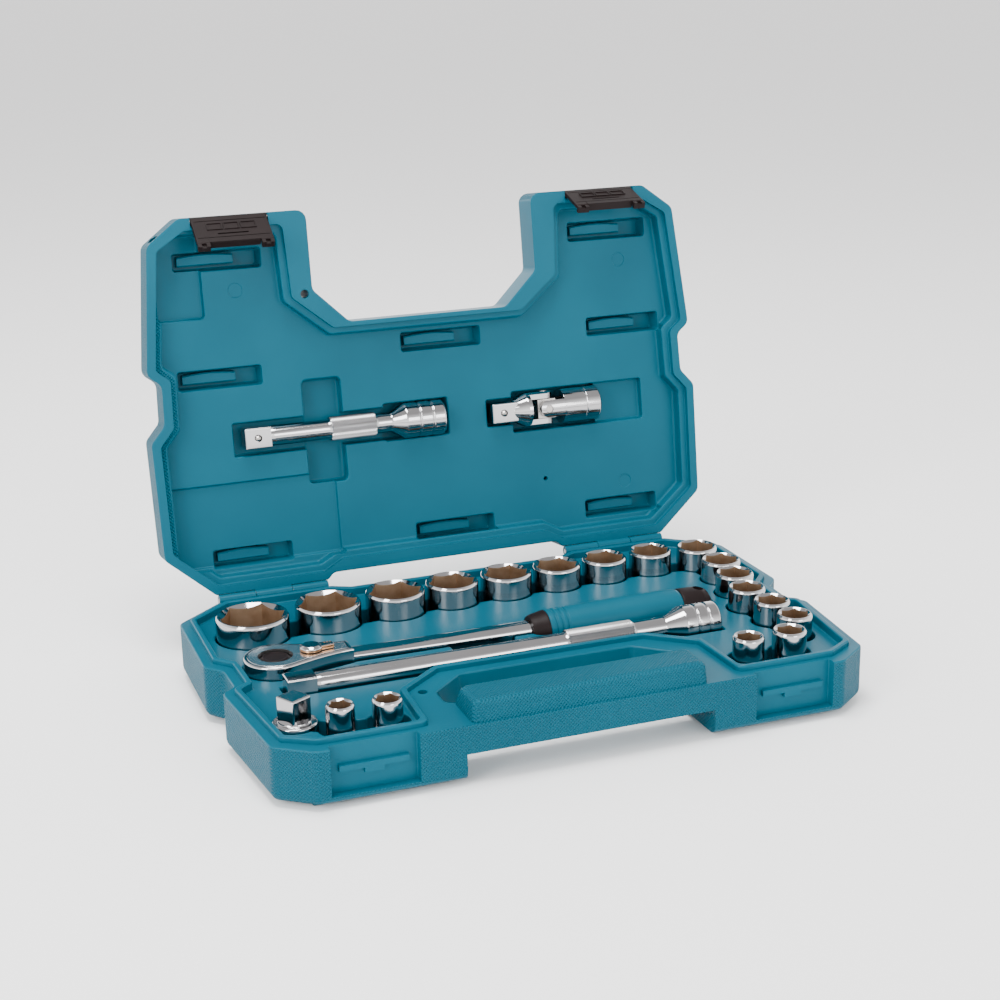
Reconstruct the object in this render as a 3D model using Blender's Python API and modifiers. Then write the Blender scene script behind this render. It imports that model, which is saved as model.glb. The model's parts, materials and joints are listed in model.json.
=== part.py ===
"""A socket wrench set in its hinged, blow-moulded case.

All sizes are in millimetres, in the case's own frame: X along the case, Y from front to back, Z up,
with the origin on the lid's hinge axis, which lies in the plane where the two halves meet. The lid
and what it holds are drawn shut, under an empty on the hinge axis that then swings them open.
"""

import math

import bmesh
import bpy
from mathutils import Euler, Vector

MM = 0.001

# Case
BASE_DEPTH = 30.0
FOOT_HEIGHT = 2.0
LID_DEPTH = 25.0
HALVES_GAP = 0.3
LID_OPEN_DEG = 98.77
HINGE_FROM_MIDDLE = 82.9
LIP_WIDTH = 3.2
LIP_HEIGHT = 3.0
TRAY_Z = -2.0
POCKET_FLOOR = -28.0
TROUGH_FLOOR = -22.0
LID_PANEL = 12.0
FRONT_Y = -224.1
CORNER_RADIUS = 5.0

# Handle, a bar left between the front face and the hand hole
HANDLE_HALF = 65.0
HANDLE_TOP = 12.0
HANDLE_UNDERSIDE = -15.5
HAND_HOLE_HALF = 69.0
HAND_HOLE_FRONT = -194.1

# Hinges: three knuckles a side, the middle one on the lid
KNUCKLE_RADIUS = 3.2
KNUCKLE_WIDTH = 21.9
KNUCKLE_PITCH = 22.3
KNUCKLE_START = 77.5
HINGE_PIN_RADIUS = 1.4
HINGE_BORE_RADIUS = 1.7

# Latches
LATCH_MIDDLE = 116.4
LATCH_WIDTH = 44.8
LATCH_RECESS_WIDTH = 46.0
LATCH_PIVOT_Y = -221.6
LATCH_PIVOT_Z = 4.0
LATCH_LENGTH = 21.0
LATCH_PIN_RADIUS = 1.2
LATCH_BORE_RADIUS = 1.5
LATCH_HANG_DEG = {"left": 42.0, "right": 25.0}

# Tools
DRIVE = 12.7
DRIVE_LENGTH = 15.5
SQUARE_HOLE = 13.1
SMALL_DRIVE_HOLE = 9.8
SOCKET_DRIVE_DIAMETER = 22.0
SOCKET_LENGTH = 38.0
SOCKET_BOTTOM = -27.0
BALL_RADIUS = 2.0
BALL_BORE_RADIUS = 2.3
BALL_DEPTH = 1.15
BALL_BORE_DEPTH = 4.4
STEPS = 16

# Size across flats, head diameter, and place of each socket's axis
SOCKETS = [
    (32, 41.5, -137.3, -58.1),
    (30, 38.0, -92.3, -54.6),
    (27, 34.9, -51.0, -51.6),
    (24, 31.4, -15.4, -49.6),
    (23, 30.6, 19.2, -48.6),
    (22, 28.9, 52.0, -48.1),
    (21, 27.0, 83.5, -47.6),
    (20, 25.8, 114.5, -47.1),
    (19, 24.6, 144.0, -51.6),
    (18, 23.4, 146.5, -79.1),
    (17, 22.4, 143.0, -103.5),
    (16, 21.4, 138.0, -127.9),
    (15, 20.6, 141.0, -152.2),
    (14, 19.8, 142.0, -176.4),
    (13, 18.8, 127.5, -196.6),
    (12, 17.4, 102.5, -196.6),
    (10, 15.0, -126.0, -196.6),
    (11, 15.8, -102.0, -198.6),
]
ADAPTER_PLACE = (-146.3, -183.6)
RATCHET_PLACE = (-137.0, -108.6, -4.3)
LONG_BAR_PLACE = (109.5, -142.6, 0.0)
SHORT_BAR_PLACE = (7.0, -92.6, 12.1)
JOINT_PLACE = (109.7, -90.8, 11.8)

# Right half of each outline, from the front middle round to the back middle
BASE_HALF = [
    (146.0, FRONT_Y),
    (165.5, -209.3),
    (172.6, -135.8),
    (164.7, -129.8),
    (165.5, -106.3),
    (174.0, -96.6),
    (173.2, -27.8),
    (144.3, -2.6),
    (76.5, -2.6),
    (73.0, -7.1),
]
LID_HALF = [(49.6, -156.6), (70.7, -177.2), (70.7, FRONT_Y)] + BASE_HALF
SEAL_HALF = [
    (60.0, -153.5),
    (84.0, -173.5),
    (86.0, -216.4),
    (143.2, -216.4),
    (159.8, -206.0),
    (166.8, -138.2),
    (158.9, -132.2),
    (159.7, -104.2),
    (168.3, -94.2),
    (167.5, -30.5),
    (142.2, -9.0),
    (78.0, -9.0),
    (66.0, -15.5),
]
HAND_HOLE_HALF_OUTLINE = [(HAND_HOLE_HALF, HAND_HOLE_FRONT), (HAND_HOLE_HALF, -177.5), (50.0, -160.0)]

# Shallow ribs moulded into the lid: middle and length of each
LID_RIBS = [
    (-123.5, -198.6, 52.0),
    (124.5, -198.3, 52.0),
    (-128.0, -129.6, 50.0),
    (131.8, -138.3, 49.0),
    (10.0, -140.3, 51.0),
    (-117.8, -22.3, 49.0),
    (123.3, -22.6, 49.0),
    (10.6, -22.4, 51.0),
]
LID_RIB_WIDTH = 11.5
LID_RIB_TOP = 20.0


def clear_scene():
    for leftover in list(bpy.data.objects):
        bpy.data.objects.remove(leftover, do_unlink=True)


def new_collection(name):
    made = bpy.data.collections.new(name)
    bpy.context.scene.collection.children.link(made)
    return made


def new_material(name, colour, roughness, metallic):
    made = bpy.data.materials.new(name)
    made.use_nodes = True
    shader = made.node_tree.nodes["Principled BSDF"]
    shader.inputs["Base Color"].default_value = (*colour, 1.0)
    shader.inputs["Roughness"].default_value = roughness
    shader.inputs["Metallic"].default_value = metallic
    made.diffuse_color = (*colour, 1.0)
    return made


clear_scene()
PARTS = new_collection("socket_wrench_set")
CUTTERS = new_collection("cutters")
TEAL = new_material("teal_plastic", (0.012, 0.235, 0.31), 0.45, 0.0)
BLACK = new_material("black_plastic", (0.035, 0.025, 0.026), 0.4, 0.0)
CHROME = new_material("chrome", (0.62, 0.62, 0.63), 0.12, 1.0)
STEEL = new_material("steel", (0.4, 0.38, 0.36), 0.35, 1.0)


# Blanks: each starts as a hidden cutter, and finish() makes it a part


def blank(mesh, smooth):
    if smooth:
        mesh.shade_smooth()
        mesh.set_sharp_from_angle(angle=math.radians(35))
    made = bpy.data.objects.new("blank", mesh)
    made.hide_render = True
    made.display_type = "WIRE"
    CUTTERS.objects.link(made)
    return made


def from_bmesh(shape, smooth=False):
    mesh = bpy.data.meshes.new("blank")
    shape.to_mesh(mesh)
    shape.free()
    return blank(mesh, smooth)


def block(low, high):
    shape = bmesh.new()
    bmesh.ops.create_cube(shape, size=1.0)
    size = (Vector(high) - Vector(low)) * MM
    middle = (Vector(high) + Vector(low)) * MM / 2
    bmesh.ops.scale(shape, vec=size, verts=shape.verts)
    bmesh.ops.translate(shape, vec=middle, verts=shape.verts)
    return from_bmesh(shape)


def rod(start, end, radius, sides=STEPS):
    along = Vector(end) - Vector(start)
    shape = bmesh.new()
    bmesh.ops.create_cone(
        shape,
        cap_ends=True,
        segments=sides,
        radius1=radius * MM,
        radius2=radius * MM,
        depth=along.length * MM,
    )
    turn = along.to_track_quat("Z", "Y").to_matrix()
    bmesh.ops.rotate(shape, cent=(0, 0, 0), matrix=turn, verts=shape.verts)
    middle = (Vector(start) + Vector(end)) * MM / 2
    bmesh.ops.translate(shape, vec=middle, verts=shape.verts)
    return from_bmesh(shape, smooth=True)


def ball(middle, radius):
    shape = bmesh.new()
    bmesh.ops.create_uvsphere(shape, u_segments=10, v_segments=6, radius=radius * MM)
    bmesh.ops.translate(shape, vec=Vector(middle) * MM, verts=shape.verts)
    return from_bmesh(shape, smooth=True)


def plate(points, low, high, soft_low=0.0, soft_high=0.0):
    """A flat outline with thickness, and its lower or upper edge rounded if asked."""
    drawing = bpy.data.curves.new("outline", "CURVE")
    drawing.dimensions = "2D"
    drawing.fill_mode = "BOTH"
    drawing.extrude = (high - low) * MM / 2
    line = drawing.splines.new("POLY")
    line.points.add(len(points) - 1)
    for spot, (x, y) in zip(line.points, points):
        spot.co = (x * MM, y * MM, 0, 1)
    line.use_cyclic_u = True
    holder = bpy.data.objects.new("outline", drawing)
    CUTTERS.objects.link(holder)
    seen = holder.evaluated_get(bpy.context.evaluated_depsgraph_get())
    mesh = bpy.data.meshes.new_from_object(seen)
    bpy.data.objects.remove(holder)
    shape = bmesh.new()
    shape.from_mesh(mesh)
    bmesh.ops.remove_doubles(shape, verts=shape.verts, dist=0.00001)
    bmesh.ops.dissolve_limit(shape, angle_limit=0.001, verts=shape.verts, edges=shape.edges)
    bmesh.ops.translate(shape, vec=(0, 0, (low + high) * MM / 2), verts=shape.verts)
    for level, width in ((low, soft_low), (high, soft_high)):
        if width:
            rim = [e for e in shape.edges if all(abs(v.co.z - level * MM) < 1e-6 for v in e.verts)]
            bmesh.ops.bevel(shape, geom=rim, offset=width * MM, segments=2, profile=0.5, affect="EDGES")
    return from_bmesh(shape)


def turned(profile, steps=STEPS):
    """A profile of (radius, height) pairs, listed from the top down, spun round Z."""
    mesh = bpy.data.meshes.new("profile")
    spots = [(radius * MM, 0, height * MM) for radius, height in profile]
    mesh.from_pydata(spots, [(i, i + 1) for i in range(len(spots) - 1)], [])
    made = blank(mesh, smooth=False)
    spin = made.modifiers.new("spin", "SCREW")
    spin.steps = steps
    spin.render_steps = steps
    spin.use_merge_vertices = True
    spin.merge_threshold = 0.00001
    spin.use_smooth_shade = True
    return made


def coil(start, radius, wire, turns, rise, points_per_turn=8):
    """A round wire spring that climbs along Z."""
    drawing = bpy.data.curves.new("coil", "CURVE")
    drawing.dimensions = "3D"
    drawing.bevel_depth = wire * MM
    drawing.bevel_resolution = 1
    drawing.use_fill_caps = True
    count = int(turns * points_per_turn) + 1
    line = drawing.splines.new("POLY")
    line.points.add(count - 1)
    for step, spot in enumerate(line.points):
        angle = 2 * math.pi * step / points_per_turn
        x = start[0] + radius * math.cos(angle)
        y = start[1] + radius * math.sin(angle)
        z = start[2] + rise * step / (count - 1)
        spot.co = (x * MM, y * MM, z * MM, 1)
    holder = bpy.data.objects.new("coil", drawing)
    CUTTERS.objects.link(holder)
    seen = holder.evaluated_get(bpy.context.evaluated_depsgraph_get())
    mesh = bpy.data.meshes.new_from_object(seen)
    bpy.data.objects.remove(holder)
    shape = bmesh.new()
    shape.from_mesh(mesh)
    bmesh.ops.remove_doubles(shape, verts=shape.verts, dist=0.000001)
    return from_bmesh(shape, smooth=True)


def combine(piece, kind, others):
    for other in others:
        other.parent = piece
        work = piece.modifiers.new(kind.lower(), "BOOLEAN")
        work.operation = kind
        work.solver = "EXACT"
        work.object = other
    return piece


def join(piece, *others):
    return combine(piece, "UNION", others)


def cut(piece, *others):
    return combine(piece, "DIFFERENCE", others)


def cut_all(piece, name, others):
    """Takes a whole tray of cutters out of a piece at once."""
    tray = bpy.data.collections.new(name)
    CUTTERS.children.link(tray)
    for other in others:
        other.parent = piece
        CUTTERS.objects.unlink(other)
        tray.objects.link(other)
    work = piece.modifiers.new("pockets", "BOOLEAN")
    work.operation = "DIFFERENCE"
    work.solver = "EXACT"
    work.operand_type = "COLLECTION"
    work.collection = tray
    return piece


def finish(piece, name, material, parent, place=(0, 0, 0), turn=(0, 0, 0)):
    piece.name = name
    piece.data.name = name
    piece.data.materials.clear()
    piece.data.materials.append(material)
    piece.hide_render = False
    piece.display_type = "TEXTURED"
    CUTTERS.objects.unlink(piece)
    PARTS.objects.link(piece)
    piece.parent = parent
    piece.location = Vector(place) * MM
    piece.rotation_euler = Euler(turn)
    return piece


def axis_empty(name, parent, place, turn=(0, 0, 0)):
    made = bpy.data.objects.new(name, None)
    PARTS.objects.link(made)
    made.parent = parent
    made.location = Vector(place) * MM
    made.rotation_euler = Euler(turn)
    return made


# Outlines


def mirrored(half):
    """Closes a right half outline with its mirror image, anticlockwise."""
    return half + [(-x, y) for x, y in reversed(half)]


def rounded(points, radius, segments=2):
    """Rounds each corner of a closed outline with an arc of short straight steps."""
    result = []
    for index, point in enumerate(points):
        here = Vector(point)
        back = Vector(points[index - 1]) - here
        ahead = Vector(points[(index + 1) % len(points)]) - here
        half_angle = back.angle(ahead) / 2
        reach = min(radius / math.tan(half_angle), 0.45 * min(back.length, ahead.length))
        bend = reach * math.tan(half_angle)
        middle = here + (back.normalized() + ahead.normalized()).normalized() * bend / math.sin(half_angle)
        first = here + back.normalized() * reach - middle
        last = here + ahead.normalized() * reach - middle
        sweep = first.angle_signed(last)
        for step in range(segments + 1):
            spot = first.copy()
            spot.rotate(Euler((0, 0, -sweep * step / segments)).to_matrix().to_2x2())
            result.append(tuple(middle + spot))
    return result


def inset(points, distance):
    """Moves every side of an anticlockwise outline inwards by the distance."""
    result = []
    for index, point in enumerate(points):
        here = Vector(point)
        back = (here - Vector(points[index - 1])).normalized()
        ahead = (Vector(points[(index + 1) % len(points)]) - here).normalized()
        normal_back = Vector((-back.y, back.x))
        normal_ahead = Vector((-ahead.y, ahead.x))
        mitre = (normal_back + normal_ahead) / (1 + normal_back.dot(normal_ahead))
        result.append(tuple(here + mitre * distance))
    return result


def rectangle(low, high):
    return [low, (high[0], low[1]), high, (low[0], high[1])]


def seal_outline(distance):
    return rounded(inset(mirrored(SEAL_HALF), distance), 3.0)


# Case


def knuckle_span(place, side):
    """The stretch of X that one knuckle takes up, place counting from the middle of the case."""
    start = KNUCKLE_START + place * KNUCKLE_PITCH
    return sorted((side * start, side * (start + KNUCKLE_WIDTH)))


def knuckles(places, web_low, web_high):
    made = []
    for side in (-1, 1):
        for place in places:
            first, last = knuckle_span(place, side)
            made.append(rod((first, 0, 0), (last, 0, 0), KNUCKLE_RADIUS, 16))
            made.append(block((first + 0.1, -5, web_low), (last - 0.1, -0.4, web_high)))
    return made


def knuckle_reliefs(places):
    made = []
    for side in (-1, 1):
        for place in places:
            first, last = knuckle_span(place, side)
            made.append(rod((first - 0.4, 0, 0), (last + 0.4, 0, 0), KNUCKLE_RADIUS + 0.5, 16))
    return made


def hinge_bores():
    first = KNUCKLE_START - 1
    last = KNUCKLE_START + 3 * KNUCKLE_PITCH + 1
    return [rod((side * first, 0, 0), (side * last, 0, 0), HINGE_BORE_RADIUS, 12) for side in (-1, 1)]


def drive_end_diameter(head):
    return max(SOCKET_DRIVE_DIAMETER, 0.82 * head)


def socket_pockets():
    made = []
    for _, head, x, y in SOCKETS:
        radius = max(head, drive_end_diameter(head)) / 2 + 0.7
        made.append(rod((x, y, POCKET_FLOOR), (x, y, 6), radius))
    x, y = ADAPTER_PLACE
    made.append(rod((x, y, POCKET_FLOOR), (x, y, 6), 12.3))
    return made


def troughs():
    """Slots that join neighbouring pockets, so fingers can reach round the sockets."""
    row = [(x, y, head) for _, head, x, y in SOCKETS[:16]]
    front = [(*ADAPTER_PLACE, 22.0)] + [(x, y, head) for _, head, x, y in SOCKETS[16:]]
    made = []
    for line in (row, front):
        for (x0, y0, head0), (x1, y1, head1) in zip(line, line[1:]):
            along = Vector((x1 - x0, y1 - y0, 0))
            half_width = max(min(head0, head1), SOCKET_DRIVE_DIAMETER) * 0.3
            slot = block((0, -half_width, TROUGH_FLOOR), (along.length, half_width, 6))
            slot.rotation_euler = (0, 0, math.atan2(along.y, along.x))
            slot.location = Vector((x0, y0, 0)) * MM
            made.append(slot)
    return made


def ratchet_pockets():
    x, y, z = RATCHET_PLACE
    return [
        rod((x, y, z - 11.5), (x, y, 6), 18.3, 28),
        rod((x, y, POCKET_FLOOR), (x, y, 6), 10.4),
        plate([(x, y - 17.4), (x + 42, y - 9), (x + 42, y + 9), (x, y + 17.4)], z - 11.5, 6),
        block((x + 40, y - 8.4, z - 8), (x + 150, y + 8.4, 6)),
        plate(rounded(rectangle((9.2, y - 13), (124.6, y + 13)), 6, 3), z - 13, 6),
    ]


def long_bar_pockets():
    x, y, _ = LONG_BAR_PLACE
    return [
        block((x - 251.5, y - 7.2, -7.4), (x - 20, y + 7.2, 6)),
        block((x - 93, y - 8, -8), (x - 50, y + 8, 6)),
        plate([(x - 34, y - 8), (x - 22, y - 11.7), (x + 1.5, y - 11.7), (x + 1.5, y + 11.7),
               (x - 22, y + 11.7), (x - 34, y + 8)], -11.6, 6),
    ]


def latch_recess(z_low, z_high, y_deep):
    half = LATCH_RECESS_WIDTH / 2
    return [
        block((side * LATCH_MIDDLE - half, FRONT_Y - 6, z_low), (side * LATCH_MIDDLE + half, y_deep, z_high))
        for side in (-1, 1)
    ]


def latch_ledges():
    half = LATCH_RECESS_WIDTH / 2 - 5
    return [
        block((side * LATCH_MIDDLE - half, -221.6, -13.9), (side * LATCH_MIDDLE + half, -217, -10.9))
        for side in (-1, 1)
    ]


def feet():
    made = []
    for side in (-1, 1):
        for x in (93.0, 117.0, 141.0):
            for y in (-217.0, -34.0):
                low = (side * x - 6.5, y, -BASE_DEPTH - FOOT_HEIGHT)
                made.append(block(low, (side * x + 6.5, y + 13.0, -BASE_DEPTH + 1.5)))
    return made


def make_case_base(frame):
    outline = rounded(mirrored(BASE_HALF), CORNER_RADIUS)
    base = plate(outline, -BASE_DEPTH, 0, soft_low=4.0)
    lip = plate(seal_outline(0), -1, LIP_HEIGHT)
    grip = plate(rounded(rectangle((-HANDLE_HALF, -222.2), (HANDLE_HALF, -199.0)), 4), -1, HANDLE_TOP, 0, 2.5)
    join(base, lip, grip, *knuckles((0, 2), -7.0, -0.4))
    hand_hole = mirrored(HAND_HOLE_HALF_OUTLINE)
    pockets = [
        plate(seal_outline(LIP_WIDTH), TRAY_Z, LIP_HEIGHT + 2),
        plate(rounded(hand_hole, 4), -BASE_DEPTH - 5, 5),
        block((-HAND_HOLE_HALF, FRONT_Y - 6, -BASE_DEPTH - 5), (HAND_HOLE_HALF, HAND_HOLE_FRONT + 3, HANDLE_UNDERSIDE)),
        rod((-75.7, -175.1, -BASE_DEPTH - 5), (-75.7, -175.1, 5), 2.6, 12),
        block((-40, -150.5, -19), (-2, -97, 6)),
    ]
    pockets += socket_pockets() + troughs() + ratchet_pockets() + long_bar_pockets()
    pockets += latch_recess(-25.5, 2, -219.2) + hinge_bores() + knuckle_reliefs((1,))
    cut_all(base, "case_base_pockets", pockets)
    join(base, *latch_ledges(), *feet())
    return finish(base, "case_base", TEAL, frame)


def lid_tool_pockets():
    return [
        block((-123.5, -102.0, 5), (-27, -82.0, 19.8)),
        block((-30, -104.0, 5), (11, -81.2, 23.3)),
        block((-79.5, -123.4, 5), (-55.5, -60.4, 20.5)),
        block((36.5, -102.7, 5), (111, -77.2, 23.4)),
        block((110, -102.7, 5), (142, -77.2, 17.0)),
    ]


def lid_ribs():
    """Long pockets whose sides slope in to a narrow floor that meets the outer skin."""
    made = []
    for x, y, length in LID_RIBS:
        shape = bmesh.new()
        bmesh.ops.create_cone(
            shape, cap_ends=True, segments=4, radius1=math.sqrt(0.5), radius2=math.sqrt(0.5) * 0.62, depth=1.0
        )
        bmesh.ops.rotate(shape, cent=(0, 0, 0), matrix=Euler((0, 0, math.pi / 4)).to_matrix(), verts=shape.verts)
        depth = LID_RIB_TOP - 5
        bmesh.ops.scale(shape, vec=Vector((length * 1.02, LID_RIB_WIDTH * 1.2, depth)) * MM, verts=shape.verts)
        middle = Vector((x, y, (LID_RIB_TOP + 5) / 2)) * MM
        bmesh.ops.translate(shape, vec=middle, verts=shape.verts)
        made.append(from_bmesh(shape))
    return made


def make_case_lid(lid_frame):
    outline = rounded(mirrored(LID_HALF), CORNER_RADIUS)
    lid = plate(outline, HALVES_GAP, LID_DEPTH, soft_high=3.5)
    join(lid, *knuckles((1,), 0.4, 7.0))
    half_pin = LATCH_RECESS_WIDTH / 2 + 2.4
    pockets = [
        plate(seal_outline(-0.5), -5, 3.7),
        plate(seal_outline(3.6), -5, LID_PANEL),
        rod((-75.7, -175.1, -5), (-75.7, -175.1, LID_DEPTH + 5), 2.6, 12),
        plate(rectangle((-162.5, -209), (-133.7, -165.3)), 5, 16.0),
        plate(rectangle((-161, -66.8), (-63.5, -28.0)), 5, 15.5),
    ]
    for side in (-1, 1):
        ends = [(side * LATCH_MIDDLE + end * half_pin, LATCH_PIVOT_Y, LATCH_PIVOT_Z) for end in (-1, 1)]
        pockets.append(rod(ends[0], ends[1], LATCH_BORE_RADIUS, 12))
    pockets += lid_tool_pockets() + lid_ribs() + latch_recess(-5, 13, -218.0)
    pockets += hinge_bores() + knuckle_reliefs((0, 2))
    cut_all(lid, "case_lid_pockets", pockets)
    return finish(lid, "case_lid", TEAL, lid_frame)


def make_hinge_pins(frame):
    last = KNUCKLE_START + 2 * KNUCKLE_PITCH + KNUCKLE_WIDTH
    for name, side in (("left", -1), ("right", 1)):
        pin = rod((side * KNUCKLE_START, 0, 0), (side * last, 0, 0), HINGE_PIN_RADIUS, 12)
        finish(pin, "hinge_pin_" + name, STEEL, frame)


def make_latch(name, side, lid_frame):
    """A latch hangs from its pin; drawn here straight down, then swung in towards the lid."""
    swing = (math.radians(LATCH_HANG_DEG[name]), 0, 0)
    place = (side * LATCH_MIDDLE, LATCH_PIVOT_Y, LATCH_PIVOT_Z)
    pivot = axis_empty("latch_axis_" + name, lid_frame, place, swing)
    half = LATCH_WIDTH / 2
    latch = block((-half, -2.4, -LATCH_LENGTH), (half, -0.4, 1.0))
    barrel = rod((-half, 0, 0), (half, 0, 0), 2.4, 16)
    hook = block((-half + 6, -0.6, -LATCH_LENGTH), (half - 6, 2.0, -LATCH_LENGTH + 2.4))
    corners = [
        block((x - 3.6, -2.2, -LATCH_LENGTH - 3), (x + 3.6, 1.6, -LATCH_LENGTH + 2.0))
        for x in (-half + 3.8, half - 3.8)
    ]
    face = block((-half + 7, -3.0, -15.5), (half - 7, -2.2, -3.5))
    join(latch, barrel, hook, face, *corners)
    cut(latch, rod((-half - 1, 0, 0), (half + 1, 0, 0), LATCH_BORE_RADIUS, 12))
    finish(latch, "latch_" + name, BLACK, pivot)
    reach = LATCH_RECESS_WIDTH / 2 + 2
    pin = rod((-reach, 0, 0), (reach, 0, 0), LATCH_PIN_RADIUS, 12)
    finish(pin, "latch_pin_" + name, STEEL, pivot)


# Sockets


def make_socket(size, head, x, y, frame):
    length = SOCKET_LENGTH
    nut = head / 2
    drive = drive_end_diameter(head) / 2
    shoulder = 0.42 * length
    socket = turned([
        (0, length),
        (nut - 0.9, length),
        (nut, length - 0.9),
        (nut, shoulder + 0.8 * abs(nut - drive) + 1.5),
        (drive, shoulder),
        (drive, 0),
        (0, 0),
    ])
    corner = size / math.sqrt(3) + 0.15
    half = SQUARE_HOLE / 2
    hexagon = rod((0, 0, length * 0.48), (0, 0, length + 2), corner, 6)
    square = block((-half, -half, -2), (half, half, length * 0.48 + 0.5))
    cut(socket, hexagon, square)
    name = "socket_" + str(size) + "mm"
    finish(socket, name, CHROME, frame, (x, y, SOCKET_BOTTOM))


# Square drives


def ball_seat(height, direction):
    """The bore for a detent ball in the side of a square drive, and the ball in it."""
    side = Vector(direction)
    face = DRIVE / 2
    middle = side * (face - BALL_DEPTH) + Vector((0, 0, height))
    bottom = side * (face - BALL_BORE_DEPTH) + Vector((0, 0, height))
    mouth = side * (face + 2) + Vector((0, 0, height))
    return rod(bottom, mouth, BALL_BORE_RADIUS, 12), ball(middle, BALL_RADIUS)


def square_drive(low, high):
    half = DRIVE / 2
    return block((-half, -half, low), (half, half, high))


def make_adapter(frame):
    turn = (0, 0, math.radians(28))
    place = (*ADAPTER_PLACE, SOCKET_BOTTOM)
    body = turned([(0, 26.8), (11.0, 26.8), (11.7, 26.0), (11.7, 24.0), (11.0, 23.2), (11.0, 0.8), (10.2, 0), (0, 0)])
    join(body, square_drive(25, 40.5))
    half = SMALL_DRIVE_HOLE / 2
    seat, detent = ball_seat(35.0, (0, 1, 0))
    cut(body, block((-half, -half, -2), (half, half, 12)), seat)
    finish(body, "adapter_body", CHROME, frame, place, turn)
    finish(detent, "adapter_ball", STEEL, frame, place, turn)


def extension(length, ring_end, neck, knurl):
    """A bar drawn upright, its socket end at the bottom."""
    top = length - DRIVE_LENGTH
    bar = turned([
        (0, top + 1),
        (5.9, top + 1),
        (6.1, top - 3),
        (6.1, knurl[1] + 1.2),
        (7.2, knurl[1]),
        (7.2, knurl[0]),
        (6.1, knurl[0] - 1.2),
        (6.1, neck),
        (10.8, ring_end),
        (10.8, 0.8),
        (10.0, 0),
        (0, 0),
    ])
    join(bar, square_drive(top, length))
    half = SQUARE_HOLE / 2
    return cut(bar, block((-half, -half, -2), (half, half, 16)))


LYING = (0, -math.pi / 2, 0)


def make_long_extension(frame):
    bar = extension(250.0, 21.0, 32.0, (52.0, 91.0))
    seat, detent = ball_seat(242.0, (0, 1, 0))
    cut(bar, seat)
    finish(bar, "long_extension_bar", CHROME, frame, LONG_BAR_PLACE, LYING)
    finish(detent, "long_extension_ball", STEEL, frame, LONG_BAR_PLACE, LYING)


def make_short_extension(lid_frame):
    bar = extension(125.0, 25.0, 33.5, (43.7, 71.4))
    seat, detent = ball_seat(117.0, (-1, 0, 0))
    cut(bar, seat)
    finish(bar, "short_extension_bar", CHROME, lid_frame, SHORT_BAR_PLACE, LYING)
    finish(detent, "short_extension_ball", STEEL, lid_frame, SHORT_BAR_PLACE, LYING)


# Universal joint

JOINT_LENGTH = 71.5
JOINT_PIVOT = 35.4
YOKE_RADIUS = 10.9
YOKE_THROAT = 10.8
EAR_INNER = 6.3
EAR_OUTER = 10.4
EAR_HALF = 5.3
CROSS_PIN_RADIUS = 2.3
CROSS_BORE_RADIUS = 2.6


def along(axis, distance, height):
    spot = Vector((0, 0, height))
    spot[axis] = distance
    return spot


def yoke_ears(axis, toward):
    """Two ears that straddle the pivot on one axis, joined to a yoke that lies toward +Z or -Z."""
    made = []
    foot = JOINT_PIVOT + toward * (YOKE_THROAT + 1)
    across = 1 - axis
    for side in (-1, 1):
        low = along(axis, side * EAR_INNER, JOINT_PIVOT)
        high = along(axis, side * EAR_OUTER, foot)
        low[across] = -EAR_HALF
        high[across] = EAR_HALF
        corners = [sorted(pair) for pair in zip(low, high)]
        made.append(block([pair[0] for pair in corners], [pair[1] for pair in corners]))
        made.append(rod(along(axis, side * EAR_INNER, JOINT_PIVOT), along(axis, side * EAR_OUTER, JOINT_PIVOT), EAR_HALF, 16))
    return made


def cross_bore(axis):
    return rod(along(axis, -15, JOINT_PIVOT), along(axis, 15, JOINT_PIVOT), CROSS_BORE_RADIUS, 12)


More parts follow.
